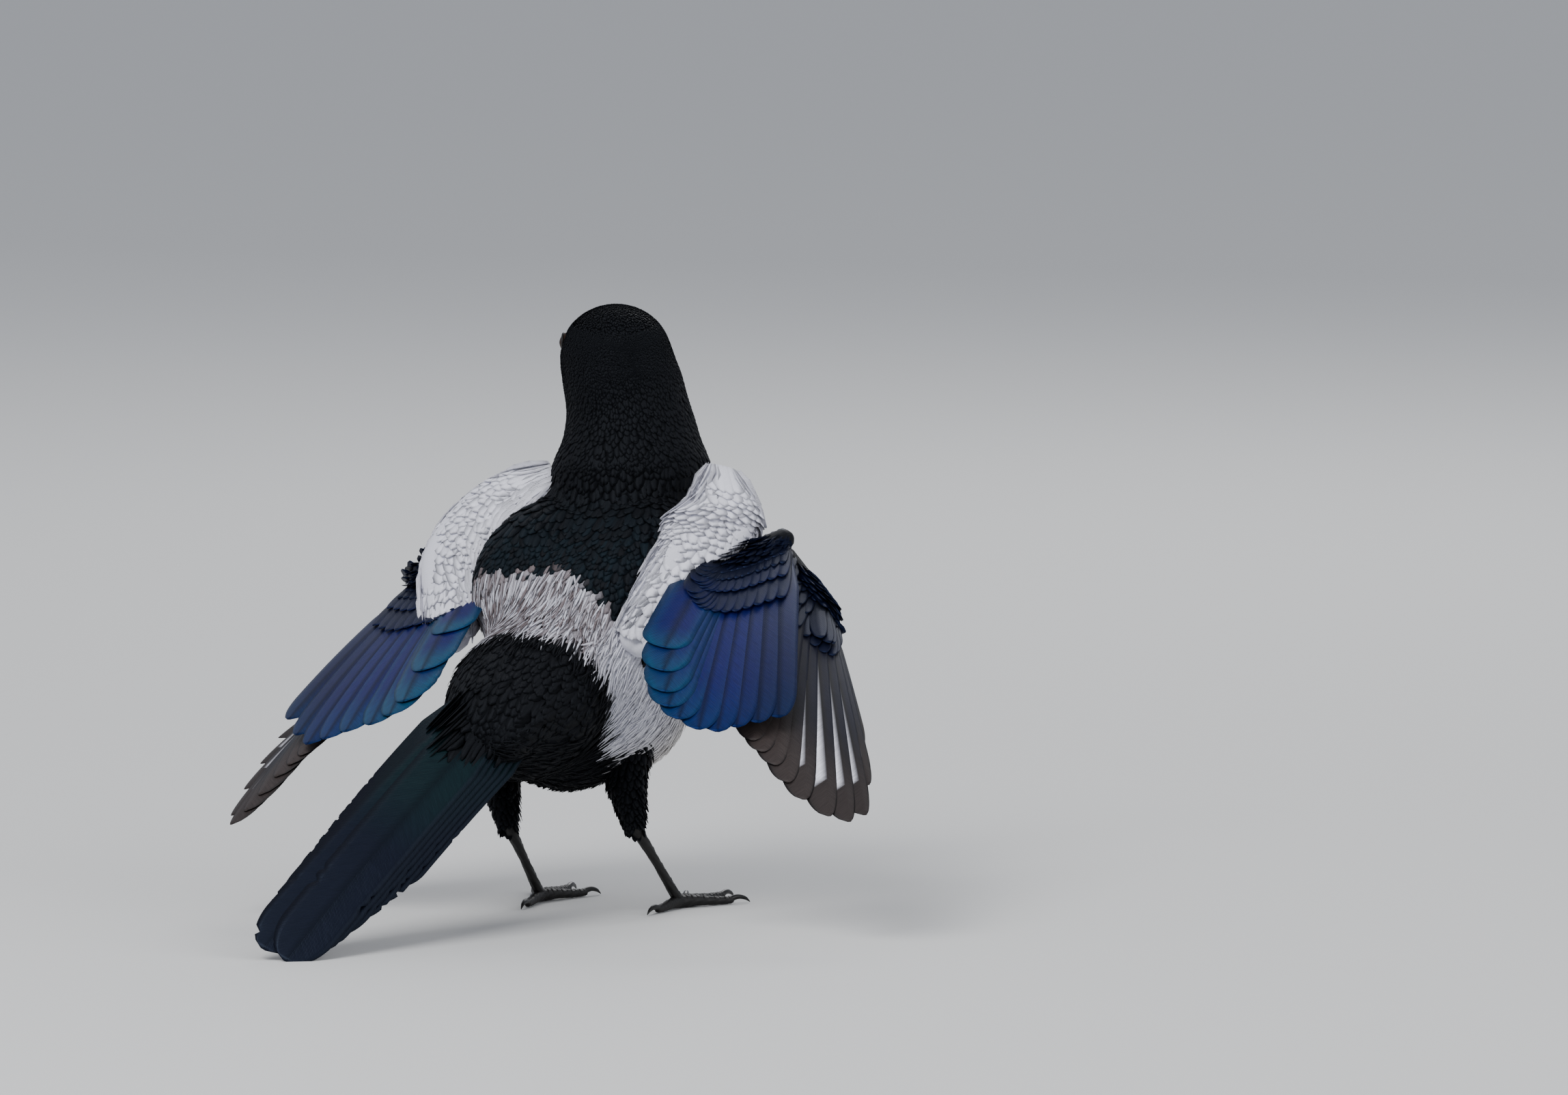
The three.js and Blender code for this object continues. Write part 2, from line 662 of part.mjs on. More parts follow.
// The floor as a cutter, so that what stands on it has small flats at z = 0.
function floorBlock() {
  const geometry = new THREE.BoxGeometry(600, 600, 40);
  geometry.translate(0, 0, -20);
  return solidOf(geometry);
}

// Nodes
const bird = new THREE.Group();

function addNode(name, solid, colour) {
  const [color, roughness, metalness] = COLOURS[colour];
  const material = new THREE.MeshStandardMaterial({ color, roughness, metalness });
  const mesh = new THREE.Mesh(geometryOf(largestPiece(solid)), material);
  mesh.name = name;
  bird.add(mesh);
}

const torsoShape = { from: 0, to: NECK_START, rings: 18, sides: 28, roundStart: true };
const neckShape = { from: NECK_START, to: HEAD_START, rings: 5, sides: 28 };
const headShape = { from: HEAD_START, to: 1, rings: 11, sides: 28, roundEnd: true };
const torso = bodyLength(torsoShape);
const torsoRoom = bodyLength({ ...torsoShape, grow: GAP });
const neck = bodyLength(neckShape);
const neckRoom = bodyLength({ ...neckShape, grow: GAP });
const skull = bodyLength(headShape);
const skullRoom = bodyLength({ ...headShape, grow: GAP });
const floor = floorBlock();

const eyeRooms = [1, -1].map((sign) => ball(eyeCentre(sign), EYE_RADIUS, GAP));
addNode('torso', torso, 'black');
addNode('neck', neck, 'black');
addNode('head', cutBy(joined([skull, eyelids(1), eyelids(-1), bristleLocks()]), eyeRooms), 'black');
addNode('eye_R', ball(eyeCentre(1), EYE_RADIUS), 'eye');
addNode('eye_L', ball(eyeCentre(-1), EYE_RADIUS), 'eye');
addNode('bill_upper', cutBy(billHalf(true), [skullRoom, bristleLocks(GAP), ...nostrils()]), 'horn');
addNode('bill_lower', cutBy(billHalf(false), [skullRoom]), 'horn');

for (const [side, wing] of Object.entries(WINGS)) {
  const arm = cutBy(forearm(wing), [torsoRoom]);
  const armRoom = forearm(wing, GAP);
  const handRoom = hand(wing, GAP);
  addNode(`wing_${side}_forearm`, arm, 'blue');
  addNode(`wing_${side}_hand`, cutBy(hand(wing), [armRoom, torsoRoom]), 'slate');
  addNode(`wing_${side}_shoulder`, cutBy(shoulder(SHOULDERS[side]), [torsoRoom, neckRoom, armRoom, handRoom]), 'white');
}

addNode('tail', cutBy(tail(), [torsoRoom, floor]), 'tail');

for (const [side, leg] of Object.entries(LEGS)) {
  const shankRoom = shank(leg, GAP);
  const tarsusRoom = tarsus(leg, GAP);
  const footRoom = foot(leg, GAP);
  addNode(`leg_${side}`, cutBy(shank(leg), [torsoRoom]), 'black');
  addNode(`tarsus_${side}`, cutBy(tarsus(leg), [shankRoom]), 'horn');
  addNode(`foot_${side}`, cutBy(foot(leg), [tarsusRoom, floor]), 'horn');
  TOES.forEach((toe, i) => addNode(`claw_${side}_${i + 1}`, cutBy(claw(leg, toe), [footRoom, floor]), 'horn'));
}

bird.position.set(-BOX_CENTRE[0], -BOX_CENTRE[1], 0);
const magpie = new THREE.Group();
magpie.add(bird);

export default magpie;
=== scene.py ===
# Eurasian magpie: skin, plumage, bill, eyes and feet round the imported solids.
# Lengths are in millimetres of the modelling frame until solid() turns them into metres.
import math

import bpy
import numpy as np
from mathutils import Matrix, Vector


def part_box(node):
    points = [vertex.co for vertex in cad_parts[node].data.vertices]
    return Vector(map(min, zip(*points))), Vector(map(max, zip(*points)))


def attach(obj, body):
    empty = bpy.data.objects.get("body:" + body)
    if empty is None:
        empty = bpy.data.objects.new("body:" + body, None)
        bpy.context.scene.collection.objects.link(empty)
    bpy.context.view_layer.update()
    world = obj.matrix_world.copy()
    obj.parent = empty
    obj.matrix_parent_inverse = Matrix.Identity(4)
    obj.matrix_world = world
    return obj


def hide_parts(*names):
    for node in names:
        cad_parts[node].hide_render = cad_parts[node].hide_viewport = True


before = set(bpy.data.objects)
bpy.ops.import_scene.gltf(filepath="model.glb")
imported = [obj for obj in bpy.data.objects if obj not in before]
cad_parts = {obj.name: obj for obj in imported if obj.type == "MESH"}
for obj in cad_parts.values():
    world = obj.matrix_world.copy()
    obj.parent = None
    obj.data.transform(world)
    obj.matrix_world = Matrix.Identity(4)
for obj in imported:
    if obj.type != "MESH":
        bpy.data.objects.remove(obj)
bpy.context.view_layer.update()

MM = 0.001
rng = np.random.default_rng(7)

# Sizes and places shared with the solids
BODY_YAW, BODY_PITCH = 25, 32
HEAD_YAW, HEAD_PITCH = -15, -7
NAPE_FOOT = (1.4, 28, 172.3)
HEAD_MIDDLE = (1.5, 60, 222)
BLEND = 4
EYE_RADIUS = 4.7
EYE_PLACE = (12.5, 15.6, 3.2)
BILL_LENGTH, BILL_ROOT = 36, (20, 0, -3.5)
BILL_DEPTH, BILL_WIDTH, BILL_DROOP = 12.5, 11.5, 3.2
WING_SPAN, WING_ARCH = 180, 7
ARM_LIFT, ARM_DROP = 5.6, 7.2
HAND_SINK, HAND_LIFT, HAND_DROP = 9.5, 1.8, 6.6
TARSUS_RADIUS, CLAW_LENGTH = 1.9, 9

# How skin and coat are laid on the body
COAT_DEPTH = 1.3  # skin below the outer surface of the plumage
MARCH_STEPS, MARCH_SHARE = 45, 0.8
TUFT_PATCH = 0.003  # side of a tuft's patch on the OFBake map

# The view, which is the photo's
PHOTO_SCALE = 3.6  # pixels of the photo to a millimetre at the bird
PHOTO_WIDTH = 2296
CAMERA_DISTANCE = 9000
CAMERA_HEIGHT_ANGLE = 6.5  # degrees above the horizon
VIEW_CENTRE = (70.3, 0, 147.0)  # what the middle of the photo looks at


def vec(*p):
    return np.array(p if len(p) > 1 else p[0], float)


def unit(v):
    return v / np.maximum(np.linalg.norm(v, axis=-1, keepdims=True), 1e-9)


def mix(a, b, t):
    return a + (b - a) * t


def smooth(low, high, value):
    t = np.clip((value - low) / (high - low), 0, 1)
    return t * t * (3 - 2 * t)


def axes_for(yaw, pitch):
    yaw, pitch = math.radians(yaw), math.radians(pitch)
    forward = vec(math.sin(yaw) * math.cos(pitch), math.cos(yaw) * math.cos(pitch), math.sin(pitch))
    right = vec(math.cos(yaw), -math.sin(yaw), 0)
    return np.array([forward, right, np.cross(right, forward)])


BODY = axes_for(BODY_YAW, BODY_PITCH)
HEAD = axes_for(HEAD_YAW, HEAD_PITCH)


def trunk_place(back, right, down):
    return vec(NAPE_FOOT) + vec(-back, right, -down) @ BODY


def head_place(forward, right, up):
    return vec(HEAD_MIDDLE) + vec(forward, right, up) @ HEAD


eye_boxes = [np.mean(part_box("eye_" + side), axis=0) for side in "LR"]
SHIFT = np.mean(eye_boxes, axis=0) / MM - head_place(EYE_PLACE[0], 0, EYE_PLACE[2])

# The body's soft masses, as in the solids: middle, axes and reach
MASSES = [
    (trunk_place(14, 0, 42), BODY, (44, 35, 40)),
    (trunk_place(52, 0, 44), BODY, (50, 38, 41)),
    (trunk_place(84, 0, 47), BODY, (38, 34, 38)),
    (trunk_place(66, 22, 63), BODY, (31, 18, 23)),
    (trunk_place(66, -22, 63), BODY, (31, 18, 23)),
    (trunk_place(112, -2, 29), BODY, (36, 33, 27)),
    (trunk_place(138, 0, 16), BODY, (24, 21, 14)),
    (trunk_place(32, 18, 21), BODY, (38, 21, 20)),
    (trunk_place(34, -27, 22), BODY, (38, 25, 22)),
    (vec(8, 47, 170), HEAD, (30, 33, 24)),
    (vec(8, 54, 188), HEAD, (25, 25.5, 24)),
    (vec(5, 56, 207), HEAD, (22, 22.5, 18)),
    (head_place(0, 0, 0), HEAD, (24, 20.5, 18)),
    (head_place(14, 0, -3), HEAD, (15, 14, 12.5)),
    (head_place(9, 0, -9), HEAD, (15, 14, 10)),
]


def field(points):
    total = np.zeros(points.shape[:-1])
    for centre, axes, reach in MASSES:
        local = (points - centre) @ axes.T / vec(reach)
        scaled = np.linalg.norm(local, axis=-1)
        slope = np.maximum(np.linalg.norm(local / vec(reach), axis=-1), 1e-6)
        total += np.exp(-np.minimum(scaled * (scaled - 1) / slope, 200) / BLEND)
    return -BLEND * np.log(np.maximum(total, 1e-80))


def field_normal(points):
    step = 0.3
    parts = [field(points + step * e) - field(points - step * e) for e in np.eye(3)]
    return unit(np.stack(parts, axis=-1))


def onto_body(points, height):
    """Moves points to a set height above the surface of the body."""
    for _ in range(4):
        points = points - (field(points) - height)[..., None] * field_normal(points) * 0.9
    return points


def spline(points, t):
    """Catmull-Rom through points, for t from 0 to 1; also its unit tangent."""
    points = np.asarray(points, float)
    t = np.clip(np.asarray(t, float), 0, 1) * (len(points) - 1)
    i = np.minimum(t.astype(int), len(points) - 2)
    f = (t - i)[..., None]
    ends = np.vstack([2 * points[0] - points[1], points, 2 * points[-1] - points[-2]])
    a, b, c, d = ends[i], ends[i + 1], ends[i + 2], ends[i + 3]
    at = 0.5 * (2 * b + (c - a) * f + (2 * a - 5 * b + 4 * c - d) * f**2 + (3 * b - a - 3 * c + d) * f**3)
    tangent = 0.5 * ((c - a) + 2 * (2 * a - 5 * b + 4 * c - d) * f + 3 * (3 * b - a - 3 * c + d) * f**2)
    return at, unit(tangent)


MIDDLE_LINE = [
    trunk_place(138, 0, 17), trunk_place(105, 0, 34), trunk_place(60, 0, 42), trunk_place(18, 0, 36),
    vec(8, 52, 176), vec(6, 55, 198), vec(2.5, 60, 214), vec(1, 61, 226), vec(0.5, 61, 233),
]


def ring_rays(at, tilt, angles):
    """Centre and directions of a ring of rays out of the middle line, tilted along it by degrees."""
    centre, axis = spline(MIDDLE_LINE, at)
    first = unit(BODY[2] - axis * (BODY[2] @ axis))
    second = np.cross(axis, first)
    flat = np.cos(angles)[:, None] * first + np.sin(angles)[:, None] * second
    return centre, flat * math.cos(math.radians(tilt)) + axis * math.sin(math.radians(tilt))


def march(centre, directions, height):
    """Where rays from inside the body reach a set height above its surface."""
    travelled = np.zeros(len(directions))
    for _ in range(MARCH_STEPS):
        distance = field(centre + directions * travelled[:, None]) - height
        travelled -= distance * MARCH_SHARE
    return centre + directions * np.maximum(travelled, 0.5)[:, None]


def volume_of(points, faces):
    corners = np.concatenate([face[:, [0, i, i + 1]] for face in faces for i in range(1, face.shape[1] - 1)])
    a, b, c = (points[corners[:, i]] for i in range(3))
    return np.sum(np.cross(a, b) * c) / 6


def tube_faces(rows, sides):
    """Faces of a tube of rings, closed onto two poles that are its last two points."""
    index = np.arange(rows * sides).reshape(rows, sides)
    after = np.roll(index, -1, axis=1)
    quads = np.stack([index[:-1], after[:-1], after[1:], index[1:]], axis=-1).reshape(-1, 4)
    start = np.full(sides, rows * sides)
    caps = np.concatenate([
        np.stack([start, after[0], index[0]], axis=-1),
        np.stack([start + 1, index[-1], after[-1]], axis=-1),
    ])
    return [quads, caps]


def add_object(name, data):
    thing = bpy.data.objects.new(name, data)
    bpy.context.scene.collection.objects.link(thing)
    return thing


def solid(name, points, faces, material, attributes=None, uv=None):
    """A mesh piece from points in millimetres. faces is a list of arrays of 3 or 4 columns."""
    if volume_of(points, faces) < 0:
        faces = [face[:, ::-1] for face in faces]
    mesh = bpy.data.meshes.new(name)
    loops = np.concatenate([f.ravel() for f in faces]).astype(np.int32)
    sizes = np.concatenate([np.full(len(f), f.shape[1]) for f in faces]).astype(np.int32)
    mesh.vertices.add(len(points))
    mesh.vertices.foreach_set("co", ((points + SHIFT) * MM).astype(np.float32).ravel())
    mesh.loops.add(len(loops))
    mesh.loops.foreach_set("vertex_index", loops)
    mesh.polygons.add(len(sizes))
    mesh.polygons.foreach_set("loop_start", np.concatenate([[0], np.cumsum(sizes)[:-1]]).astype(np.int32))
    mesh.update(calc_edges=True)
    mesh.polygons.foreach_set("use_smooth", np.full(len(sizes), True))
    for key, values in (attributes or {}).items():
        if key == "tone":
            layer = mesh.attributes.new(key, "FLOAT_COLOR", "POINT")
            rgba = np.concatenate([values, np.ones((len(values), 1))], axis=1)
            layer.data.foreach_set("color", rgba.astype(np.float32).ravel())
        else:
            layer = mesh.attributes.new(key, "FLOAT_VECTOR", "POINT")
            layer.data.foreach_set("vector", values.astype(np.float32).ravel())
    if uv is not None:
        layer = mesh.uv_layers.new(name="OFBake")
        layer.data.foreach_set("uv", uv[loops].astype(np.float32).ravel())
    mesh.materials.append(material)
    mesh.validate()
    piece = add_object(name, mesh)
    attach(piece, "root")
    return piece


# Materials


def node_material(name):
    material = bpy.data.materials.new(name)
    material.use_nodes = True
    nodes, links = material.node_tree.nodes, material.node_tree.links
    return material, nodes, links, nodes["Principled BSDF"]


def noise_node(nodes, scale, detail=2.0):
    noise = nodes.new("ShaderNodeTexNoise")
    noise.inputs["Scale"].default_value = scale
    noise.inputs["Detail"].default_value = detail
    return noise


def tinted_tone(nodes, links, shader, noise, reach, levels):
    """Takes the base colour from the tone of the mesh; reach of the noise spreads it over levels."""
    tone = nodes.new("ShaderNodeAttribute")
    tone.attribute_name = "tone"
    level = nodes.new("ShaderNodeMapRange")
    for socket, value in zip(("From Min", "From Max", "To Min", "To Max"), (*reach, *levels)):
        level.inputs[socket].default_value = value
    links.new(noise.outputs["Fac"], level.inputs["Value"])
    tint = nodes.new("ShaderNodeVectorMath")
    tint.operation = "SCALE"
    links.new(tone.outputs["Color"], tint.inputs[0])
    links.new(level.outputs["Result"], tint.inputs["Scale"])
    links.new(tint.outputs[0], shader.inputs["Base Color"])


def ramped_colour(nodes, links, shader, noise, dark, light):
    ramp = nodes.new("ShaderNodeValToRGB")
    for element, colour in zip(ramp.color_ramp.elements, (dark, light)):
        element.color = (*colour, 1)
    links.new(noise.outputs["Fac"], ramp.inputs["Fac"])
    links.new(ramp.outputs["Color"], shader.inputs["Base Color"])


def bumped(nodes, links, shader, height, depth, strength):
    bump = nodes.new("ShaderNodeBump")
    bump.inputs["Distance"].default_value = depth * MM
    bump.inputs["Strength"].default_value = strength
    links.new(height, bump.inputs["Height"])
    links.new(bump.outputs[0], shader.inputs["Normal"])


def feather_material(name, roughness, barb_depth, specular=0.5, streak=0.35, sheen=0.0, gleam=(1, 1, 1)):
    """Plumage: the tone of each feather, streaked along its barbs, which also lift the surface."""
    material, nodes, links, shader = node_material(name)
    vane = nodes.new("ShaderNodeAttribute")
    vane.attribute_name = "vane"
    parts = nodes.new("ShaderNodeSeparateXYZ")
    links.new(vane.outputs["Vector"], parts.inputs[0])

    def math_node(kind, a, b=None):
        node = nodes.new("ShaderNodeMath")
        node.operation = kind
        for socket, value in zip(node.inputs, (a, b)):
            if isinstance(value, (int, float)):
                socket.default_value = value
            elif value is not None:
                links.new(value, socket)
        return node.outputs[0]

    across = math_node("ABSOLUTE", parts.outputs["X"])
    barb = math_node("SUBTRACT", parts.outputs["Y"], math_node("MULTIPLY", across, 0.9))
    ripple = math_node("SINE", math_node("MULTIPLY", barb, 8.0))
    place = nodes.new("ShaderNodeCombineXYZ")
    links.new(math_node("MULTIPLY", barb, 1.6), place.inputs[0])
    links.new(math_node("MULTIPLY", parts.outputs["X"], 0.22), place.inputs[1])
    links.new(math_node("MULTIPLY", parts.outputs["Z"], 40.0), place.inputs[2])
    noise = noise_node(nodes, 1.0, 3.0)
    links.new(place.outputs[0], noise.inputs["Vector"])
    tinted_tone(nodes, links, shader, noise, (0.3, 0.7), (1.0 - streak, 1.0 + streak * 0.6))
    height = math_node("ADD", math_node("MULTIPLY", ripple, 0.35), noise.outputs["Fac"])
    bumped(nodes, links, shader, height, barb_depth, 0.7)
    shader.inputs["Roughness"].default_value = roughness
    shader.inputs["Specular IOR Level"].default_value = specular
    shader.inputs["Sheen Weight"].default_value = sheen
    shader.inputs["Sheen Roughness"].default_value = 0.4
    shader.inputs["Specular Tint"].default_value = (*gleam, 1)
    return material


def horn_material(name, colour, roughness, scale, bump_depth):
    material, nodes, links, shader = node_material(name)
    coords = nodes.new("ShaderNodeTexCoord")
    noise = noise_node(nodes, scale, 5.0)
    links.new(coords.outputs["Object"], noise.inputs["Vector"])
    ramped_colour(nodes, links, shader, noise, 0.55 * vec(colour), 1.7 * vec(colour))
    bumped(nodes, links, shader, noise.outputs["Fac"], bump_depth, 0.6)
    shader.inputs["Roughness"].default_value = roughness
    shader.inputs["Specular IOR Level"].default_value = 0.3
    return material


plumage = feather_material("body_plumage", 0.6, 0.08, specular=0.13, streak=0.25, gleam=(0.75, 0.85, 1))
white_plumage = feather_material("white_plumage", 0.8, 0.06, specular=0.2, streak=0.07, sheen=0.15)
blue_vanes = feather_material("blue_vanes", 0.38, 0.05, specular=0.3, streak=0.3, gleam=(0.12, 0.24, 1))
covert_vanes = feather_material("covert_vanes", 0.42, 0.05, specular=0.25, streak=0.3, gleam=(0.3, 0.45, 1))
tail_vanes = feather_material("tail_vanes", 0.4, 0.06, specular=0.2, streak=0.3, gleam=(0.45, 0.6, 0.9))
slate_vanes = feather_material("slate_vanes", 0.5, 0.05, specular=0.18, streak=0.25)
bill_horn = horn_material("bill_horn", (0.006, 0.006, 0.0065), 0.34, 260.0, 0.05)
leg_horn = horn_material("leg_horn", (0.006, 0.0055, 0.0055), 0.5, 420.0, 0.12)
claw_horn = horn_material("claw_horn", (0.005, 0.0047, 0.0045), 0.3, 200.0, 0.04)

# Tones
BLACK = vec(0.0035, 0.0036, 0.0045)
MANTLE_GLOSS = vec(0.004, 0.009, 0.013)
WHITE = vec(0.78, 0.78, 0.86)
FLANK_CREAM = vec(0.72, 0.69, 0.66)
RUMP_GREY = vec(0.17, 0.14, 0.145)
ROYAL = vec(0.003, 0.005, 0.07)
NAVY = vec(0.003, 0.0045, 0.019)
# blue-green of the secondaries' edges and ends: partly their own colour, partly painted sheen
TEAL_SHEEN = vec(0.005, 0.05, 0.10)
BROWN_BLACK = vec(0.007, 0.006, 0.007)
GREY_BROWN = vec(0.044, 0.034, 0.032)
TAIL_BLUE = vec(0.003, 0.0034, 0.0085)
TAIL_GREEN = vec(0.0025, 0.012, 0.0115)


def trunk_coordinates(points):
    local = (points - vec(NAPE_FOOT)) @ BODY.T
    return -local[..., 0], local[..., 1], -local[..., 2]


def pale_share(points, wobble):
    """How far a place lies inside the pale band round the rump, flanks and belly, from 0 to 1."""
    back, right, down = trunk_coordinates(points)
    mantle_end = 57 + 0.5 * np.clip(right, 0, 40) + 4 * wobble
    breast_end = 42 + 3 * wobble
    front_end = mix(mantle_end, breast_end, smooth(34, 52, down))
    rear_start = 97 + 2.5 * wobble + 9 * smooth(18, 45, down) - 12 * smooth(52, 80, down)
    return smooth(-1.2, 1.2, back - front_end) * smooth(-1.2, 1.2, rear_start - back)


def marking(points, wobble):
    """The colour of the plumage at places on the body; wobble is a number for each from -1 to 1."""
    back, right, down = trunk_coordinates(points)
    pale = pale_share(points, wobble)[..., None]
    dorsal = (1 - smooth(16, 36, down + 0.3 * np.clip(right, -40, 40)))[..., None]
    rump = mix(RUMP_GREY, WHITE * 0.85, np.clip(0.45 + 0.65 * wobble, 0, 1)[..., None])
    flank = mix(WHITE, FLANK_CREAM, smooth(50, 85, down)[..., None])
    light = mix(flank, rump, dorsal)
    gloss = smooth(5, 40, back) * (1 - smooth(60, 80, back)) * smooth(34, 4, down) * (0.5 + 0.5 * wobble)
    return mix(mix(BLACK, MANTLE_GLOSS, gloss[..., None]), light, pale)


# Skin


def body_skin():
    sides, rings = 112, 130
    angles = np.linspace(0, 2 * np.pi, sides, endpoint=False)
    rows = [(0, -tilt) for tilt in (80, 70, 60, 50, 40, 30, 20, 10)]
    rows += [(at, 0) for at in np.linspace(0, 1, rings)]
    rows += [(1, tilt) for tilt in (10, 20, 30, 40, 50, 60, 70, 80)]
    grid = []
    for at, tilt in rows:
        centre, directions = ring_rays(at, tilt, angles)
        grid.append(march(centre, directions, -COAT_DEPTH))
    poles = []
    for at, sign in ((0, -1), (1, 1)):
        centre, axis = spline(MIDDLE_LINE, at)
        poles.append(march(centre, (axis * sign)[None], -COAT_DEPTH)[0])
    points = np.vstack([np.concatenate(grid), poles])
    tones = marking(points, np.zeros(len(points)))
    place = np.stack([np.tile(angles * 20, len(rows)), np.repeat(np.arange(len(rows)) * 2.0, sides)], -1)
    vane = np.zeros((len(points), 3))
    vane[: len(place), :2] = place
    u = np.tile(np.arange(sides) / sides, len(rows))
    v = np.repeat(np.arange(len(rows)) / (len(rows) - 1), sides)
    uv = np.vstack([np.stack([u, v], -1), [[0.5, 0], [0.5, 1]]])
    piece = solid("skin", points, tube_faces(len(rows), sides), plumage,
                  {"tone": tones, "vane": vane}, uv)
    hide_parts("torso", "neck", "head")


# Small feathers


BLADE_STATIONS = (0, 0.34, 0.68, 0.9, 1)
ROUND_BLADE = (0.55, 1.0, 0.96, 0.62, 0.14)
POINTED_BLADE = (0.7, 1.0, 0.8, 0.45, 0.08)


def blades(name, roots, along, up, length, width, tones, uv, material, slot, *, follow=True, lift=0.3,
           sink=0.8, outline=ROUND_BLADE, twist=0.06, stray=0.15, thickness=0.26):
    """Many small closed feathers. follow lays them along the surface of the body."""
    t = vec(BLADE_STATIONS)
    count, steps = len(roots), len(t)
    line = roots[:, None] + along[:, None] * (length[:, None] * t)[..., None]
    height = mix(-sink, lift, np.sqrt(t))[None] + rng.uniform(-stray, stray, (count, 1)) * t
    if follow:
        line = onto_body(line.reshape(-1, 3), 0).reshape(count, steps, 3)
        normal = field_normal(line.reshape(-1, 3)).reshape(count, steps, 3)
    else:
        normal = np.repeat(up[:, None], steps, axis=1)
    line = line + normal * (height - COAT_DEPTH * 0.6 * (1 - t)[None])[..., None]
    half = width[:, None] * 0.5 * vec(outline)[None]
    across = unit(np.cross(np.repeat(along[:, None], steps, axis=1), normal))
    across = unit(across + normal * rng.normal(0, twist, (count, 1, 1)))
    thick = mix(thickness, thickness * 0.35, t)[None, :, None]
    ring = np.stack([
        line + across * half[..., None] - normal * 0.1 * half[..., None],
        line + normal * thick,
        line - across * half[..., None] - normal * 0.1 * half[..., None],
        line - normal * thick * 0.6,
    ], axis=2)
    points = ring.reshape(-1, 3)
    index = np.arange(count * steps * 4).reshape(count, steps, 4)
    after = np.roll(index, -1, axis=2)
    quads = np.stack([index[:, :-1], index[:, 1:], after[:, 1:], after[:, :-1]], axis=-1).reshape(-1, 4)
    ends = np.concatenate([index[:, 0], index[:, -1, ::-1]])
    shape = (count, steps, 4)
    lateral = np.array([1.0, 0.0, -1.0, 0.0])[None, None] * half[..., None]
    distance = np.broadcast_to((length[:, None] * t)[..., None], shape)
    seed = np.broadcast_to(rng.uniform(0, 1, (count, 1, 1)), shape)
    vane = np.stack([lateral, distance, seed], axis=-1).reshape(-1, 3)
    # painted shade: each feather darker at its root, where the one before lies over it, and a little lighter
    # at its tip; times a random tone for each feather
    root_shade_and_tone = mix(0.92, 1.03, t)[None, :, None, None] * rng.uniform(0.93, 1.06, (count, 1, 1, 1))
    tone = (tones[:, None, None] * np.broadcast_to(root_shade_and_tone, (*shape, 1))).reshape(-1, 3)
    patch = np.stack([np.broadcast_to([0, 0.5, 1, 0.5], shape),
                      np.broadcast_to(t[None, :, None], shape)], axis=-1)
    spread = (uv[:, None, None] * (1 - 2 * TUFT_PATCH) + TUFT_PATCH * patch).reshape(-1, 2)
    return solid(name, points, [quads, ends], material, {"tone": tone, "vane": vane}, spread)


class Tufts:
    """Small feathers gathered one by one, then grown as one mesh piece."""

    def __init__(self):
        self.rows = []

    def add(self, root, along, up, length, width, place, tone=BLACK):
        self.rows.append((root, unit(along - up * (along @ up)), up, length, width, tone, place))

    def grow(self, name, *nodes, material=None, slot="black_plumage", **options):
        columns = [np.array(column) for column in zip(*self.rows)]
        piece = blades(name, *columns, material or plumage, slot, follow=False, **options)
        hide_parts(*nodes)


def limb_coat(name, line, radii, flow, node, *, rows, around, length, width, tone=BLACK, closing=False,
              **options):
    """Feathers round a limb that all lie towards flow. closing draws them in over both of its ends."""
    tufts = Tufts()
    for row, t in enumerate(np.linspace(0, 1, rows)):
        at, axis = spline(line, t)
        first = unit(np.cross(axis, vec(0, 0, 1)))
        second = np.cross(axis, first)
        radius = np.interp(t, np.linspace(0, 1, len(radii)), radii)
        for n in range(around):
            angle = 2 * math.pi * (n + 0.5 * (row % 2) + rng.uniform(-0.2, 0.2)) / around
            out = first * math.cos(angle) + second * math.sin(angle)
            close = out * mix(0.05, -0.6, max(0, abs(2 * t - 1) * 2 - 1) if closing else 0)
            lean = unit(unit(vec(flow) - out * (flow @ out)) + close)
            place = (angle / (2 * math.pi) % 1, t)
            tufts.rows.append((at + out * radius, lean, out, length * rng.uniform(0.85, 1.15), width, tone,
                               place))
    tufts.grow(name, node, **options)


def feather_size(at):
    """Length and width of the body feathers along the middle line, from the tail root to the crown."""
    stops = [0.0, 0.12, 0.3, 0.5, 0.6, 0.72, 1.0]
    lengths = np.interp(at, stops, [26, 20, 17, 15, 11, 7, 5.5])
    return lengths, np.interp(at, stops, [8, 6.5, 7, 6.5, 4.4, 2.6, 2.1])


BILL_POINT = head_place(31, 0, -3)
MIDDLE_LENGTH = 270
ROW_SHARE = 0.17  # spacing of the rows of body feathers, of a feather's length


def coat_roots():
    """Rays for the body feathers: centres, directions, places on the skin's map, and place along it."""
    angles = np.linspace(0, 2 * np.pi, 97)
    rows = [(0.0, -tilt) for tilt in (80, 68, 56, 44, 33, 22, 11)]
    at = 0.0
    while at < 1:
        rows.append((at, 0))
        at += feather_size(at)[0] * ROW_SHARE / MIDDLE_LENGTH
    rows += [(1.0, tilt) for tilt in np.arange(3, 88, 3)]
    centres, directions, places, along = [], [], [], []
    for number, (at, tilt) in enumerate(rows):
        centre, rays = ring_rays(at, tilt, angles)
        ring = march(centre, rays, 0)
        travelled = np.concatenate([[0], np.cumsum(np.linalg.norm(np.diff(ring, axis=0), axis=1))])
        length, width = feather_size(at)
        count = max(int(travelled[-1] / (width * 0.4)), 3)
        wanted = (np.arange(count) + 0.5 * (number % 2) + rng.uniform(-0.3, 0.3, count)) / count % 1
        for turn in np.interp(wanted * travelled[-1], travelled, angles):
            jitter = rng.uniform(-0.4, 0.4) * length * ROW_SHARE / MIDDLE_LENGTH
            centre, ray = ring_rays(float(np.clip(at + jitter, 0, 1)), tilt, np.array([turn]))
            centres.append(centre)
            directions.append(ray[0])
            places.append((turn / (2 * np.pi), number / len(rows)))
            along.append(at)
    return np.array(centres), np.array(directions), np.array(places), np.array(along)


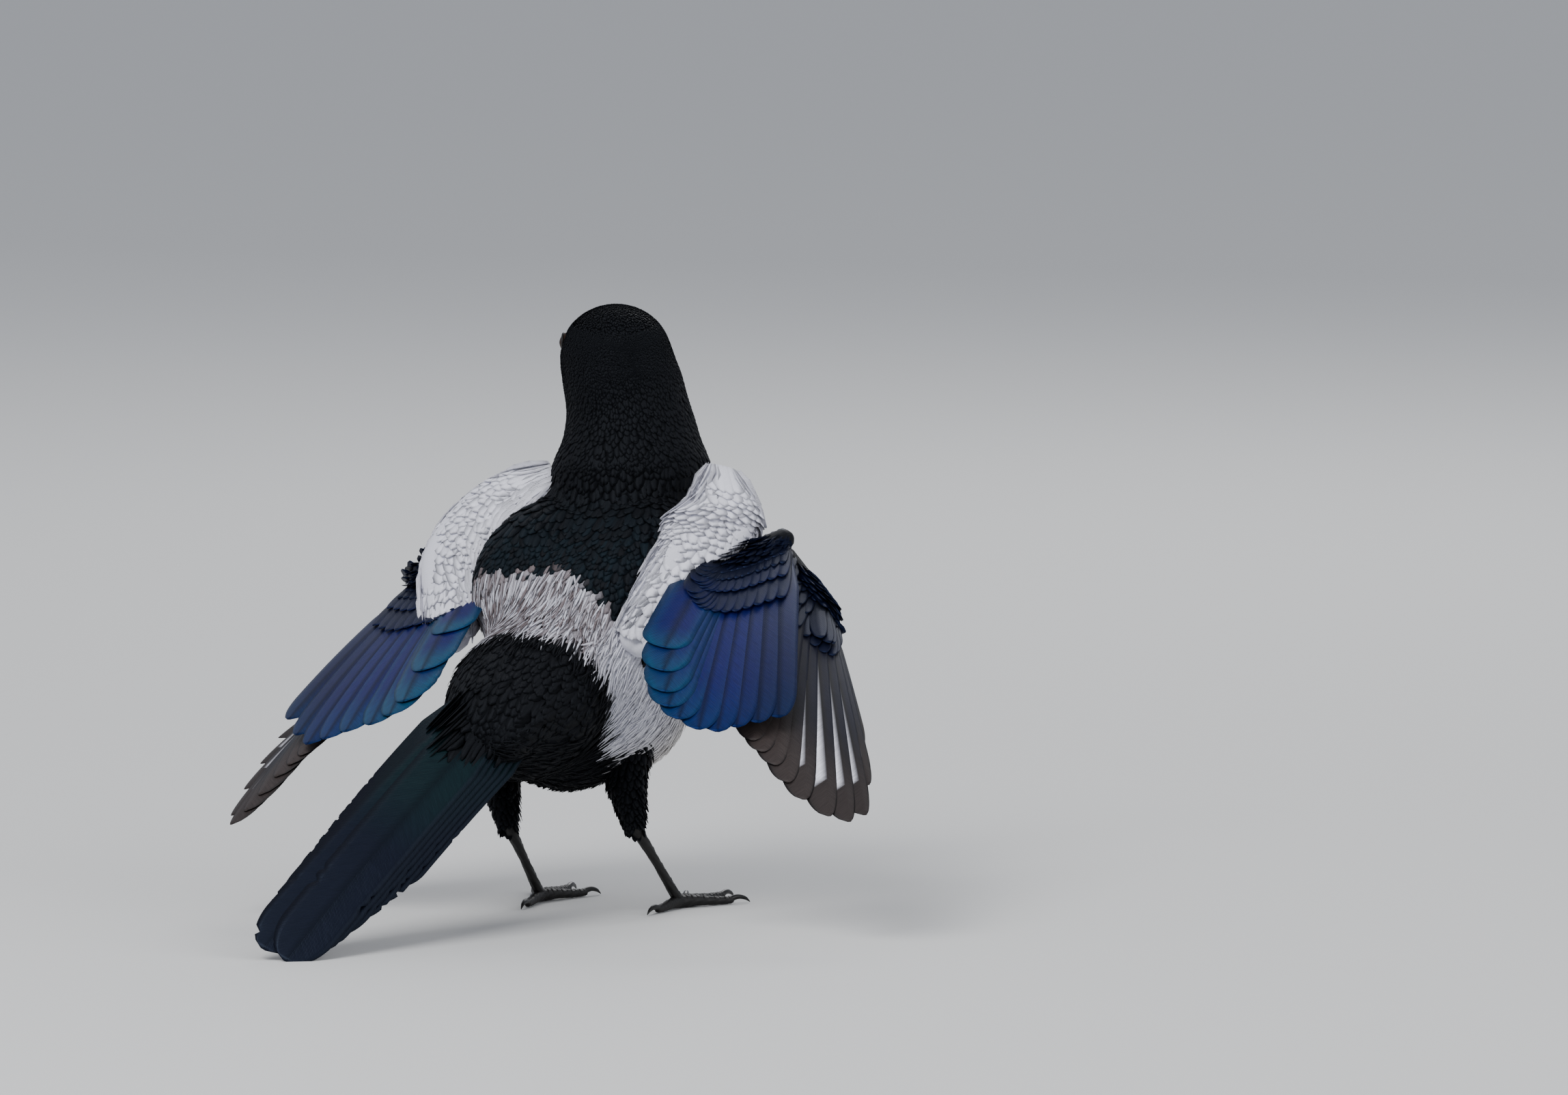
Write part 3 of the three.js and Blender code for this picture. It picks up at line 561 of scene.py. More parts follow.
def body_coat():
    centres, directions, places, at = coat_roots()
    points = march(centres, directions, 0)
    normals = field_normal(points)
    flow = unit(-spline(MIDDLE_LINE, at)[1] + vec(0, 0, -0.25))
    from_bill = unit(points - BILL_POINT + vec(0, 0, -6))
    flow = mix(flow, from_bill, smooth(0.62, 0.8, at)[:, None])
    flow = unit(flow - normals * np.sum(flow * normals, axis=1, keepdims=True))
    flow = unit(flow + rng.normal(0, 0.05, flow.shape))
    eye_places = [head_place(EYE_PLACE[0], sign * EYE_PLACE[1], EYE_PLACE[2]) for sign in (1, -1)]
    to_eye = np.min([np.linalg.norm(points - place, axis=1) for place in eye_places], axis=0)
    ahead = (points - vec(HEAD_MIDDLE)) @ HEAD.T
    on_bill = (ahead[:, 0] > 22) & (np.hypot(ahead[:, 1], ahead[:, 2] + 3.5) < 6.5)
    keep = (to_eye > EYE_RADIUS + 0.6) & ~on_bill
    length, width = feather_size(at)
    length = length * rng.uniform(0.85, 1.15, len(points))
    wobble = rng.uniform(-1, 1, len(points))
    tones = marking(points + flow * length[:, None] * 0.7, wobble)
    zones = [("coat_tail_root", 0, 0.14), ("coat_rump", 0.14, 0.28), ("coat_trunk", 0.28, 0.42),
             ("coat_shoulders", 0.42, 0.58), ("coat_neck", 0.58, 0.74), ("coat_head", 0.74, 1.01)]
    for name, low, high in zones:
        pick = keep & (at >= low) & (at < high)
        blades(name, points[pick], flow[pick], normals[pick], length[pick], width[pick], tones[pick],
               places[pick], plumage, "black_plumage", lift=0.1 if high > 0.5 else 0.2, stray=0.08)
    plumes(points, flow, normals, length, places, keep)


def plumes(points, flow, normals, length, places, keep):
    """Loose hair-like feathers over the pale rump and flanks and the fringe of the vent."""
    still = np.zeros(len(points))
    back = trunk_coordinates(points)[0]
    pale = keep & (pale_share(points + flow * 6, still) > 0.4)
    vent = keep & (normals[:, 2] < -0.45) & (back > 60) & (back < 150) & ~pale
    for name, pick, each, size in (("plumes_pale", pale, 4, 1.25), ("plumes_vent", vent, 3, 0.9)):
        chosen = np.repeat(np.nonzero(pick)[0], each)
        count = len(chosen)
        start = points[chosen] + rng.normal(0, 1.6, (count, 3))
        lean = flow[chosen] + rng.normal(0, 0.13, (count, 3))
        lean = unit(lean - normals[chosen] * np.sum(lean * normals[chosen], axis=1, keepdims=True))
        reach = length[chosen] * size * rng.uniform(0.6, 1.15, count)
        tones = marking(start + lean * reach[:, None] * 0.6, rng.uniform(-1, 1, count))
        blades(name, start, lean, normals[chosen], reach, rng.uniform(0.9, 2.0, count), tones,
               places[chosen], plumage, "black_plumage", lift=0.9, outline=POINTED_BLADE, stray=0.5,
               thickness=0.2)


# Large feathers


class Vanes:
    """Flight feathers and coverts gathered into one mesh piece."""

    ACROSS = np.linspace(-1, 1, 9)

    def __init__(self):
        self.points, self.faces, self.tones, self.vanes, self.cells = [], [], [], [], []
        self.count = 0

    def add(self, at, side, up, width, colour, *, outer=0.42, tip_from=0.8, thickness=0.4, camber=0.05,
            blunt=0.1, ragged=0.0, root=0.4):
        """One feather along at, with its outer side and upper side. colour(across, along) gives tones."""
        steps, lines = len(at), len(self.ACROSS)
        t = np.linspace(0, 1, steps)
        body = np.minimum(1, root + 2.2 * t)
        tip = np.where(t > tip_from, np.sqrt(np.clip(1 - ((t - tip_from) / (1 - tip_from)) ** 2, 0, 1)), 1)
        half = width * body * np.maximum(tip, blunt)
        a = self.ACROSS[None]
        share = np.where(a > 0, outer, 1 - outer)
        fray = np.ones((steps, lines))
        if ragged:
            notch = np.clip(rng.normal(0, 1, (steps, 1)) - 1.1, 0, 1) * ragged * smooth(0.5, 1, t)[:, None]
            fray = 1 - notch * np.abs(a) ** 3
        reach = a * share * half[:, None] * fray
        shaft = 0.28 * np.exp(-(reach / 0.55) ** 2) * (1 - 0.7 * t)[:, None]
        rise = -camber * half[:, None] * np.abs(a) ** 1.7 + shaft
        top = at[:, None] + side[:, None] * reach[..., None] + up[:, None] * rise[..., None]
        thick = (thickness * mix(1, 0.6, t))[:, None] * (1 - 0.6 * np.abs(a) ** 3)
        bottom = top - up[:, None] * (thick + 0.6 * shaft)[..., None]
        base = sum(len(p) for p in self.points)
        self.points.append(np.concatenate([top.reshape(-1, 3), bottom.reshape(-1, 3)]))
        index = base + np.arange(steps * lines).reshape(steps, lines)
        under = index + steps * lines
        quads = [
            np.stack([index[:-1, :-1], index[:-1, 1:], index[1:, 1:], index[1:, :-1]], -1).reshape(-1, 4),
            np.stack([under[:-1, :-1], under[1:, :-1], under[1:, 1:], under[:-1, 1:]], -1).reshape(-1, 4),
        ]
        loop = np.concatenate([index[0], index[1:, -1], index[-1, -2::-1], index[-2:0:-1, 0]])
        low = loop + steps * lines
        rim = np.stack([loop, low, np.roll(low, -1), np.roll(loop, -1)], -1)
        flip = np.cross(side[0], at[1] - at[0]) @ up[0] < 0
        quads = np.concatenate(quads + [rim])
        self.faces.append(quads[:, ::-1] if flip else quads)
        length = np.linalg.norm(np.diff(at, axis=0), axis=1).sum()
        across, down = np.broadcast_to(a, reach.shape), np.broadcast_to(t[:, None], reach.shape)
        tone = colour(across, down)
        vane = np.stack([reach, down * length, np.full(reach.shape, rng.uniform(0, 1))], -1).reshape(-1, 3)
        cell = np.stack([across * 0.5 + 0.5, down], -1).reshape(-1, 2) * vec(0.48, 0.94)
        self.tones += [tone.reshape(-1, 3)] * 2
        self.vanes += [vane] * 2
        self.cells += [(self.count, cell), (self.count, cell + vec(0.5, 0))]
        self.count += 1

    def piece(self, name, material, slot):
        columns = math.ceil(math.sqrt(self.count))
        uv = [(cell + vec(n % columns, n // columns)) / columns for n, cell in self.cells]
        return solid(name, np.concatenate(self.points), [np.concatenate(self.faces)], material,
                     {"tone": np.concatenate(self.tones), "vane": np.concatenate(self.vanes)},
                     np.concatenate(uv))


# Each wing's last setting scales the blue-green painted on the edges and ends of its secondaries: partly
# their own colour, partly painted sheen, stronger on the left wing than on the right.
WINGS = {
    "R": dict(
        elbow=(43, -12, 137), wrist=(70.5, 7, 149.5), hand_end=(88, -18, 128.5),
        arm_tips=[(22, -62, 104), (22, -83, 91), (26, -95, 83), (39, -102, 78), (53, -98, 81),
                  (68, -92, 85)],
        hand_tips=[(58, -92, 73), (66, -102, 67), (76, -116, 58), (92, -128, 50), (104, -123, 53),
                   (102, -89, 75)],
        arm_up=(0, -0.547, 0.837), hand_up=(0, -0.547, 0.837), outward=(1, 0.3, 0), teal_sheen=1.2,
    ),
    "L": dict(
        elbow=(-56.4, 33.9, 136.8), wrist=(-78.5, 61, 126.5), hand_end=(-95.5, 40, 107),
        arm_tips=[(-64, -8, 104), (-78, -43, 82), (-90, -48, 74), (-108, -40, 69), (-122, -33, 66),
                  (-129, -7, 73)],
        hand_tips=[(-122, -29, 59), (-132, -31, 53), (-144, -40, 43), (-153, -43, 36), (-146, -17, 49),
                   (-135, 13, 66)],
        arm_up=(-0.40, -0.36, 0.84), hand_up=(-0.47, -0.29, 0.83), outward=(-1, 0.3, 0), teal_sheen=2.2,
    ),
}


def along_bone(a, b, t):
    return mix(vec(a), vec(b), t)


def sheet_row(vanes, roots, tips, through, up, outward, colour, *, count, width, start=0.0, end=1.0,
              lift=0.0, drop=0.0, u_range=(0, 1), steps=40, outer=(0.42, 0.42), **shape):
    """A row of feathers on the sheet of a wing, each over the next one outwards."""
    up, outward = unit(vec(up)), vec(outward)
    roots, tips = ([vec(p) - up * ((vec(p) - through) @ up) for p in places] for places in (roots, tips))
    for i in range(count):
        share = i / (count - 1)
        u = mix(u_range[0], u_range[1], share)
        root, tip = spline(roots, u)[0], spline(tips, u)[0]
        span = tip - root
        t = np.linspace(start, end, steps)
        distance = np.linalg.norm(span) * t
        arch = WING_ARCH * 4 * distance / WING_SPAN * (1 - distance / WING_SPAN)
        along = unit(span)
        side = np.cross(along, up)
        side = side if side @ outward > 0 else -side
        at = root + along * distance[:, None] + up * (arch + lift - drop * u)[:, None]
        sweep = rng.normal(0, 0.25)
        at = at + side * (sweep * np.linspace(0, 1, steps) ** 2)[:, None]
        ones = np.ones((steps, 1))
        own = mix(width[0], width[1], share)
        vanes.add(at, side * ones, up * ones, own, lambda a, s, i=i: colour(a, s, i / (count - 1)),
                  outer=mix(outer[0], outer[1], share), **shape)


def blend(low, high, share):
    return low + (high - low) * share[..., None]


def tone_field(tone, a):
    return np.broadcast_to(tone, a.shape + (3,))


def secondary_colour(a, t, u, teal_sheen):
    """Royal blue with blue-green ends, most of it on the innermost feathers, turning navy outwards. The
    blue-green is partly the feathers' own colour, partly painted sheen.
    """
    open_blue = smooth(0.05, 0.45, t) * (1 - 0.75 * smooth(0.6, 1.0, u))
    tone = blend(tone_field(NAVY, a), ROYAL, open_blue)
    # painted sheen, partly the feathers' own colour: blue-green along the edges and over the ends, in an
    # amount given for each wing
    edge = smooth(0.5, 1.0, np.abs(a)) * 0.45 + smooth(0.72, 1.0, t) * 0.6
    tone = blend(tone, TEAL_SHEEN, np.clip(edge * teal_sheen * mix(1.1, 0.15, smooth(0, 0.8, u)), 0, 1))
    rim = smooth(0.86, 1.0, np.maximum(np.abs(a), smooth(0.0, 1.0, (t - 0.9) * 10)))
    tone = blend(tone, NAVY, rim * 0.5)
    return tone * (1 - 0.7 * np.exp(-(a / 0.05) ** 2))[..., None]


def covert_colour(a, t, u):
    """Nearly black, with a blue edge."""
    tone = blend(tone_field(BLACK, a), NAVY, smooth(0.35, 0.9, t))
    return blend(tone, ROYAL * 0.6, smooth(0.6, 1.0, t) * smooth(0.2, 0.9, np.abs(a)) * 0.6)


def primary_colour(a, t, u):
    """Brown-black with greyer tips, and a white inner web on the outer feathers."""
    tone = blend(tone_field(BROWN_BLACK * 0.6, a), GREY_BROWN, smooth(0.6, 0.95, t) * (1 - 0.6 * u))
    tone = blend(tone, BROWN_BLACK * 0.5, smooth(0.7, 0.95, np.abs(a)) * smooth(0.4, 0.8, t))
    tone = blend(tone, NAVY, smooth(0.1, 0.4, a) * (1 - smooth(0.5, 0.9, t)) * 0.6)
    web = smooth(-0.05, -0.11, a) * smooth(-0.96, -0.88, a)
    length = smooth(0.25, 0.33, t) * (1 - smooth(0.86, 0.88, t + 0.05 * np.abs(a + 0.5)))
    return blend(tone, WHITE, web * length * smooth(0.34, 0.42, u))


def hand_covert_colour(a, t, u):
    return blend(tone_field(BLACK, a), NAVY, smooth(0.3, 1, t) * 0.6)


def limb(name, points, radii, material, *, sides=24, steps=40, flatten=1.0, hint=(0, 0, 1), tone=BLACK,
         shape=None):
    """A rounded limb along a smooth line; shape(t, angle) may swell it."""
    t = np.linspace(0, 1, steps)
    at, axis = spline(points, t)
    radius = np.interp(t, np.linspace(0, 1, len(radii)), radii)
    last = steps - 1
    rows = [(0, 0.45, -0.8), (0, 0.8, -0.5)] + [(i, 1, 0) for i in range(steps)]
    rows += [(last, 0.8, 0.5), (last, 0.45, 0.8)]
    angles = np.linspace(0, 2 * np.pi, sides, endpoint=False)
    grid = []
    for i, shrink, push in rows:
        first = unit(vec(hint) - axis[i] * (vec(hint) @ axis[i]))
        second = np.cross(axis[i], first)
        squash = mix(1, flatten, np.cos(angles) ** 2)
        swell = shape(t[i], angles) if shape else 1.0
        reach = radius[i] * shrink * squash * swell
        spokes = np.cos(angles)[:, None] * first + np.sin(angles)[:, None] * second
        grid.append(at[i] + axis[i] * push * radius[i] + spokes * reach[:, None])
    surface = np.concatenate(grid + [[grid[0].mean(0)], [grid[-1].mean(0)]])
    attributes = {"tone": np.broadcast_to(tone, (len(surface), 3)), "vane": surface}
    return solid(name, surface, tube_faces(len(rows), sides), material, attributes)


# Rows of coverts: colour, count, widths, start, end, lift over the large feathers, steps, where the tip
# starts, and the share of the sheet that the row takes
ARM_COVERTS = (
    (covert_colour, 12, (11, 10), -0.02, 0.36, 1.4, 24, 0.62, (0, 1)),
    (covert_colour, 13, (10, 9), -0.04, 0.24, 2.3, 18, 0.55, (0, 1)),
    (hand_covert_colour, 15, (7.5, 7), -0.06, 0.165, 2.8, 12, 0.5, (0, 1)),
    (hand_covert_colour, 15, (7.5, 7), -0.06, 0.11, 3.0, 12, 0.5, (0, 1)),
    (hand_covert_colour, 15, (7.5, 7), -0.06, 0.06, 3.2, 12, 0.5, (0, 1)),
)
HAND_COVERTS = (
    (hand_covert_colour, 10, (10, 8), 0.0, 0.28, 1.3, 24, 0.6, (0, 1)),
    (hand_covert_colour, 10, (9, 7), 0.0, 0.17, 2.2, 18, 0.55, (0, 1)),
    (hand_covert_colour, 12, (7, 6), -0.02, 0.09, 3.0, 12, 0.5, (0, 1)),
    (hand_covert_colour, 3, (8, 6), -0.02, 0.24, 3.4, 20, 0.7, (0.62, 0.84)),
)


def covert_piece(name, slot, rows, lift, sheet):
    coverts = Vanes()
    for colour, count, width, start, end, above, steps, tip_from, u_range in rows:
        sheet_row(coverts, colour=colour, count=count, width=width, start=start, end=end, lift=lift + above,
                  steps=steps, tip_from=tip_from, u_range=u_range, **sheet)
    return coverts.piece(name, covert_vanes, slot)


def covered_bone(side, part, bones, radii, sheet, pieces, **coat):
    """The bone of one part of a wing under its small feathers. pieces are the part's larger feathers; they
    are not used.
    """
    node = f"wing_{side}_{part}"
    bone = limb(f"{part}_{side}", bones, radii, plumage, hint=sheet["up"])
    flow = unit(np.mean(np.array(sheet["tips"]), axis=0) - bones[0])
    limb_coat(f"{part}_coat_{side}", bones, radii, flow, node, rows=16, tone=NAVY * 0.6, closing=True,
              material=covert_vanes, lift=0.1, **coat)
    for piece in (bone, *pieces):
        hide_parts(node)


def wing(side):
    data = WINGS[side]
    elbow, wrist, hand_end = vec(data["elbow"]), vec(data["wrist"]), vec(data["hand_end"])
    arm = dict(roots=[along_bone(elbow, wrist, t) for t in (-0.1, 0.12, 0.5, 0.97)], tips=data["arm_tips"],
               through=wrist, up=unit(vec(data["arm_up"])), outward=data["outward"], drop=ARM_DROP)
    flight = Vanes()
    sheet_row(flight, colour=lambda a, t, u: secondary_colour(a, t, u, data["teal_sheen"]), count=10,
              width=(21, 18), outer=(0.42, 0.4), lift=ARM_LIFT, steps=60, tip_from=0.84, ragged=0.05, **arm)
    secondaries = flight.piece(f"secondaries_{side}", blue_vanes, "blue_feathers")
    coverts = covert_piece(f"arm_coverts_{side}", "blue_feathers", ARM_COVERTS, ARM_LIFT, arm)
    bones = [elbow, along_bone(elbow, wrist, 0.5), wrist]
    covered_bone(side, "forearm", bones, [6.6, 6.2, 4.4], arm, (secondaries, coverts), around=18,
                 length=11, width=6.5)

    hand_up = unit(vec(data["hand_up"]))
    bones = [along_bone(wrist, hand_end, t) - hand_up * HAND_SINK for t in (0, 0.5, 1)]
    hand = dict(roots=[along_bone(bones[0], bones[2], t) for t in (0.05, 0.4, 0.75, 1)],
                tips=data["hand_tips"], through=bones[0], up=hand_up, outward=data["outward"],
                drop=HAND_DROP)
    flight = Vanes()
    sheet_row(flight, colour=primary_colour, count=10, width=(17, 13), outer=(0.4, 0.18), lift=HAND_LIFT,
              steps=70, tip_from=0.84, ragged=0.04, **hand)
    primaries = flight.piece(f"primaries_{side}", slate_vanes, "slate_feathers")
    coverts = covert_piece(f"hand_coverts_{side}", "slate_feathers", HAND_COVERTS, HAND_LIFT, hand)
    covered_bone(side, "hand", bones, [4.8, 5.2, 4.8], hand, (primaries, coverts), around=16,
                 length=12, width=6)


SHOULDERS = {
    "R": dict(line=[(45, 15, 170), (45, 3, 157), (31, -14, 140), (12, -34, 114)], up=(0.4, -0.62, 0.68),
              outward=(1, 0.3, 0)),
    "L": dict(line=[(-31, 45, 168), (-51, 43, 156), (-65, 30, 138), (-65, 6, 110)], up=(-0.5, -0.5, 0.7),
              outward=(-1, 0.3, 0)),
}
PAD_HALF_WIDTH = (10, 16, 15, 10)
PAD_FLATNESS = 0.45
PAD_LENGTH = 75
SCAPULAR_REACH = 0.24  # length of a scapular, of the pad's


def pad_surface(data, t, angle):
    """A place on the shoulder pad and the way it faces; t may run past either end."""
    within = float(np.clip(t, 0, 1))
    at, axis = spline(data["line"], within)
    up = unit(vec(data["up"]) - axis * (vec(data["up"]) @ axis))
    side = np.cross(axis, up)
    side = side if side @ vec(data["outward"]) > 0 else -side
    half = np.interp(within, np.linspace(0, 1, 4), PAD_HALF_WIDTH) * (1 - 2.5 * min(abs(t - within), 0.3))
    out = side * math.sin(angle) + up * math.cos(angle) * PAD_FLATNESS
    normal = unit(side * math.sin(angle) * PAD_FLATNESS + up * math.cos(angle))
    return at + axis * (t - within) * PAD_LENGTH + out * half, normal


def shoulder(side):
    data = SHOULDERS[side]
    pad = limb(f"shoulder_{side}", data["line"], [0.92 * h for h in PAD_HALF_WIDTH], white_plumage,
               flatten=PAD_FLATNESS, hint=data["up"], tone=WHITE * 0.9, sides=40)
    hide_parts(f"wing_{side}_shoulder")
    tufts = Tufts()
    for row, t in enumerate(np.arange(-0.12, 0.93, 0.05)):
        for degrees in np.arange(-112, 113, 14) + 7 * (row % 2):
            angle = math.radians(degrees + rng.uniform(-3, 3))
            root, _ = pad_surface(data, t, angle)
            tip, normal = pad_surface(data, t + SCAPULAR_REACH, angle)
            tufts.rows.append((root, unit(tip + normal * 1.5 - root), normal, rng.uniform(17, 20),
                               rng.uniform(9, 11), WHITE * rng.uniform(0.96, 1.0),
                               (angle / 6.3 + 0.5, 0.15 + 0.8 * t)))
    tufts.grow(f"scapulars_{side}", f"wing_{side}_shoulder", material=white_plumage,
               slot="white_plumage", lift=0.5, sink=-0.2, stray=0.1)


TAIL_ROOT = trunk_place(128, 0, 14)
TAIL_TIP = vec(-134, -168, -0.7)
TAIL_ROLL = 24
TAIL_GRADES = (1, 0.94, 0.86, 0.78, 0.7, 0.62)
TAIL_LAYER = 0.9
TAIL_STEPS = 80


def tail_colour(a, t):
    tone = blend(tone_field(TAIL_BLUE, a), TAIL_GREEN, (1 - smooth(0.35, 0.62, t)) * 0.8)
    tone = blend(tone, TAIL_BLUE * 0.55, smooth(0.82, 0.97, np.abs(a)) * 0.8)
    return tone * (1 - 0.5 * np.exp(-(a / 0.05) ** 2))[..., None]


def tail():
    axis = unit(TAIL_TIP - TAIL_ROOT)
    side = unit(BODY[1] - axis * (BODY[1] @ axis))
    turn = -math.radians(TAIL_ROLL)
    side = side * math.cos(turn) + np.cross(axis, side) * math.sin(turn)
    up = np.cross(side, axis)
    up = up if up[2] > 0 else -up
    span = np.linalg.norm(TAIL_TIP - TAIL_ROOT)
    vanes = Vanes()
    t = np.linspace(0, 1, TAIL_STEPS)[:, None]
    ones = np.ones((TAIL_STEPS, 1))
    for pair, grade in enumerate(TAIL_GRADES):
        for sign in (1, -1):
            depth = TAIL_LAYER * (2 * pair + (0 if sign > 0 else 1))
            offset = sign * mix(2.5 + pair * 2.3, 5.5 + pair * 1.6, t)
            at = TAIL_ROOT + axis * span * grade * t + side * offset
            at = at + up * (5 - depth + 3 * np.sin(np.pi * t))
            vanes.add(at, side * sign * ones, up * ones, mix(25, 19, pair / 5), tail_colour, outer=0.45,
                      tip_from=0.88, ragged=0.3, camber=0.03, thickness=0.45)
    piece = vanes.piece("tail_feathers", tail_vanes, "tail_feathers")
    block = limb("tail_base", [TAIL_ROOT + axis * ahead for ahead in (-4, 8, 20)], [9.5, 8.5, 6], plumage,
                 hint=up)
    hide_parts("tail")
    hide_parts("tail")
    tufts = Tufts()
    for row in range(6):
        for n in range(13):
            angle = math.radians(mix(-165, 165, (n + 0.5 * (row % 2)) / 12.5))
            out = side * math.sin(angle) * (17 - row) + up * math.cos(angle) * (9 - row * 0.6)
            tufts.add(TAIL_ROOT + axis * (1 + row * 4) + out, axis - unit(out) * 0.2, unit(out),
                      rng.uniform(26, 36), rng.uniform(7, 9), (0.5 + angle / 6.4, 0.1 + row * 0.1))
    tufts.grow("tail_coverts", "tail")


LEGS = {
    "L": dict(hip=(-36, 4, 84), knee=(-44.5, -4, 60), heel=(-42, -18, 36.5), foot=(-29.2, 12, 3),
              toe_yaw=18),
    "R": dict(hip=(8, -8, 84), knee=(6, -22, 60), heel=(9.4, -33, 38), foot=(27.5, -8, 3), toe_yaw=30),
}
TOES = ((-24, 24), (2, 33), (28, 25), (178, 18))  # turn in degrees and length
SHANK_RADII = (14, 8.2, 3.4)


def scutes(count, depth):
    """Overlapping plates down the front of a leg or toe, and small scales behind."""
    def shape(t, angles):
        plate = (t * count) % 1
        front = np.clip(np.cos(angles) * 1.4, 0, 1)
        return 1 + depth * (0.5 - plate) * front + 0.35 * depth * np.sin(angles * 7 + t * count * 3)
    return shape


def leg(side):
    data = LEGS[side]
    end = along_bone(data["knee"], data["heel"], 0.86)
    line = [vec(data["hip"]), vec(data["knee"]), end]
    skin = limb(f"shank_{side}", line, SHANK_RADII, plumage, hint=(0, 1, 0))
    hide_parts(f"leg_{side}")
    limb_coat(f"shank_coat_{side}", line, SHANK_RADII, unit(end - line[0]), f"leg_{side}",
              rows=24, around=20, length=9, width=3.4)
    heel, foot = vec(data["heel"]), vec(data["foot"])
    yaw = math.radians(data["toe_yaw"])
    front = unit(vec(math.sin(yaw), math.cos(yaw), 0))
    line = [along_bone(data["knee"], heel, 0.7), heel, along_bone(heel, foot, 0.5), foot]
    radii = [2.3, TARSUS_RADIUS + 0.8, TARSUS_RADIUS - 0.15, TARSUS_RADIUS + 0.3]
    shaft = limb(f"tarsus_bare_{side}", line, radii, leg_horn, steps=150, sides=28, hint=front,
                 shape=scutes(16, 0.14))
    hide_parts(f"tarsus_{side}")
    for number, (turn, length) in enumerate(TOES):
        yaw = math.radians(data["toe_yaw"] + turn)
        ahead = vec(math.sin(yaw), math.cos(yaw), 0)
        line = [foot * vec(1, 1, 0) + ahead * length * share + vec(0, 0, height)
                for share, height in ((0, 3), (0.35, 2.7), (0.7, 2.0), (1, 1.75))]
        toe = limb(f"toe_{side}_{number + 1}", line, [2.7, 2.1, 1.75, 1.5], leg_horn, steps=90,
                   sides=24, shape=scutes(length / 2.6, 0.16))
        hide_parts(f"foot_{side}")
        tip = line[3]
        arc = [tip + ahead * CLAW_LENGTH * share + vec(0, 0, height - tip[2])
               for share, height in ((-0.15, 1.9), (0.35, 2.9), (0.75, 2.1), (1, 0.5))]
        nail = limb(f"nail_{side}_{number + 1}", arc, [1.3, 1.1, 0.75, 0.2], claw_horn,
                    steps=30, sides=20)
        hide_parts(f"claw_{side}_{number + 1}")


def bill():
    for upper in (True, False):
        count, sides = 48, 26
        grid = []
        for t in np.linspace(0, 1, count):
            taper = (1 - t**1.7) * 0.94 + 0.06
            reach = t if upper else t * 0.93
            along = BILL_ROOT[0] + BILL_LENGTH * reach
            depth = BILL_DEPTH * (0.56 if upper else 0.4) * taper
            half = BILL_WIDTH / 2 * taper * (1 if upper else 0.92)
            edge = BILL_ROOT[2] - BILL_DROOP * reach**2.4 + (0.1 if upper else -0.1)
            angles = np.linspace(0, np.pi, sides)
            rise = np.sin(angles) ** 0.85 * depth * (1 if upper else -1)
            groove = sum(0.25 * np.exp(-((a - 0.55) / 0.12) ** 2) for a in (angles, np.pi - angles))
            lateral = np.cos(angles) * half * (1 - groove * 0.12)
            grid.append(np.array([head_place(along, x, edge + z) for x, z in zip(lateral, rise)]))
        points = np.concatenate(grid + [[grid[0].mean(0)], [grid[-1].mean(0)]])
        name = "upper" if upper else "lower"
        piece = solid(f"beak_{name}", points, tube_faces(count, sides), bill_horn)
        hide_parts(f"bill_{name}")


def bristles():
    """Stiff forward feathers over the nostrils, at the root of the bill."""
    tufts = Tufts()
    for row in range(8):
        for n in range(17):
            angle = math.radians(mix(-92, 92, (n + 0.5 * (row % 2)) / 16.5))
            out = vec(0, math.sin(angle), math.cos(angle)) @ HEAD
            root = head_place(18.5 + row * 1.3, 0, -3.2) + out * (9.2 - 0.42 * row)
            lean = vec(1, 0, 0) @ HEAD - out * 0.2
            tufts.rows.append((root, unit(lean), out, rng.uniform(8, 12), rng.uniform(1.2, 1.9), BLACK,
                               (0.5 + angle / 6.4, 0.9)))
    tufts.grow("nasal_bristles", "head", outline=POINTED_BLADE, sink=0.3)


def eye_material():
    material, nodes, links, shader = node_material("eye_wet")
    tinted_tone(nodes, links, shader, noise_node(nodes, 900), (0, 1), (0.7, 1.3))
    shader.inputs["Roughness"].default_value = 0.06
    shader.inputs["Specular IOR Level"].default_value = 0.12
    return material


PUPIL_TONE, IRIS_TONE = vec(0.001, 0.001, 0.001), vec(0.022, 0.010, 0.005)
PUPIL_REACH = 0.34  # radians from the middle of the eye
EYE_BULGE = 0.04
LID_POINTS, LID_SIDES = 48, 10


def lid(name, centre, outward, first, second):
    """A wrinkled ring round the eye."""
    ring = []
    for angle in np.linspace(0, 2 * np.pi, LID_POINTS, endpoint=False):
        spoke = math.cos(angle) * first + math.sin(angle) * second * 0.9
        middle = centre + outward * 3.1 + spoke * 3.75
        thick = 0.55 + 0.12 * math.sin(angle * 23)
        for turn in np.linspace(0, 2 * np.pi, LID_SIDES, endpoint=False):
            across = unit(spoke) * math.cos(turn) * thick * 1.3
            ring.append(middle + across + outward * math.sin(turn) * thick)
    index = np.arange(LID_POINTS * LID_SIDES).reshape(LID_POINTS, LID_SIDES)
    onward, after = np.roll(index, -1, axis=0), np.roll(index, -1, axis=1)
    quads = np.stack([index, after, np.roll(onward, -1, axis=1), onward], -1).reshape(-1, 4)
    piece = solid(f"lid_{name}", np.array(ring), [quads], leg_horn)
    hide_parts("head")


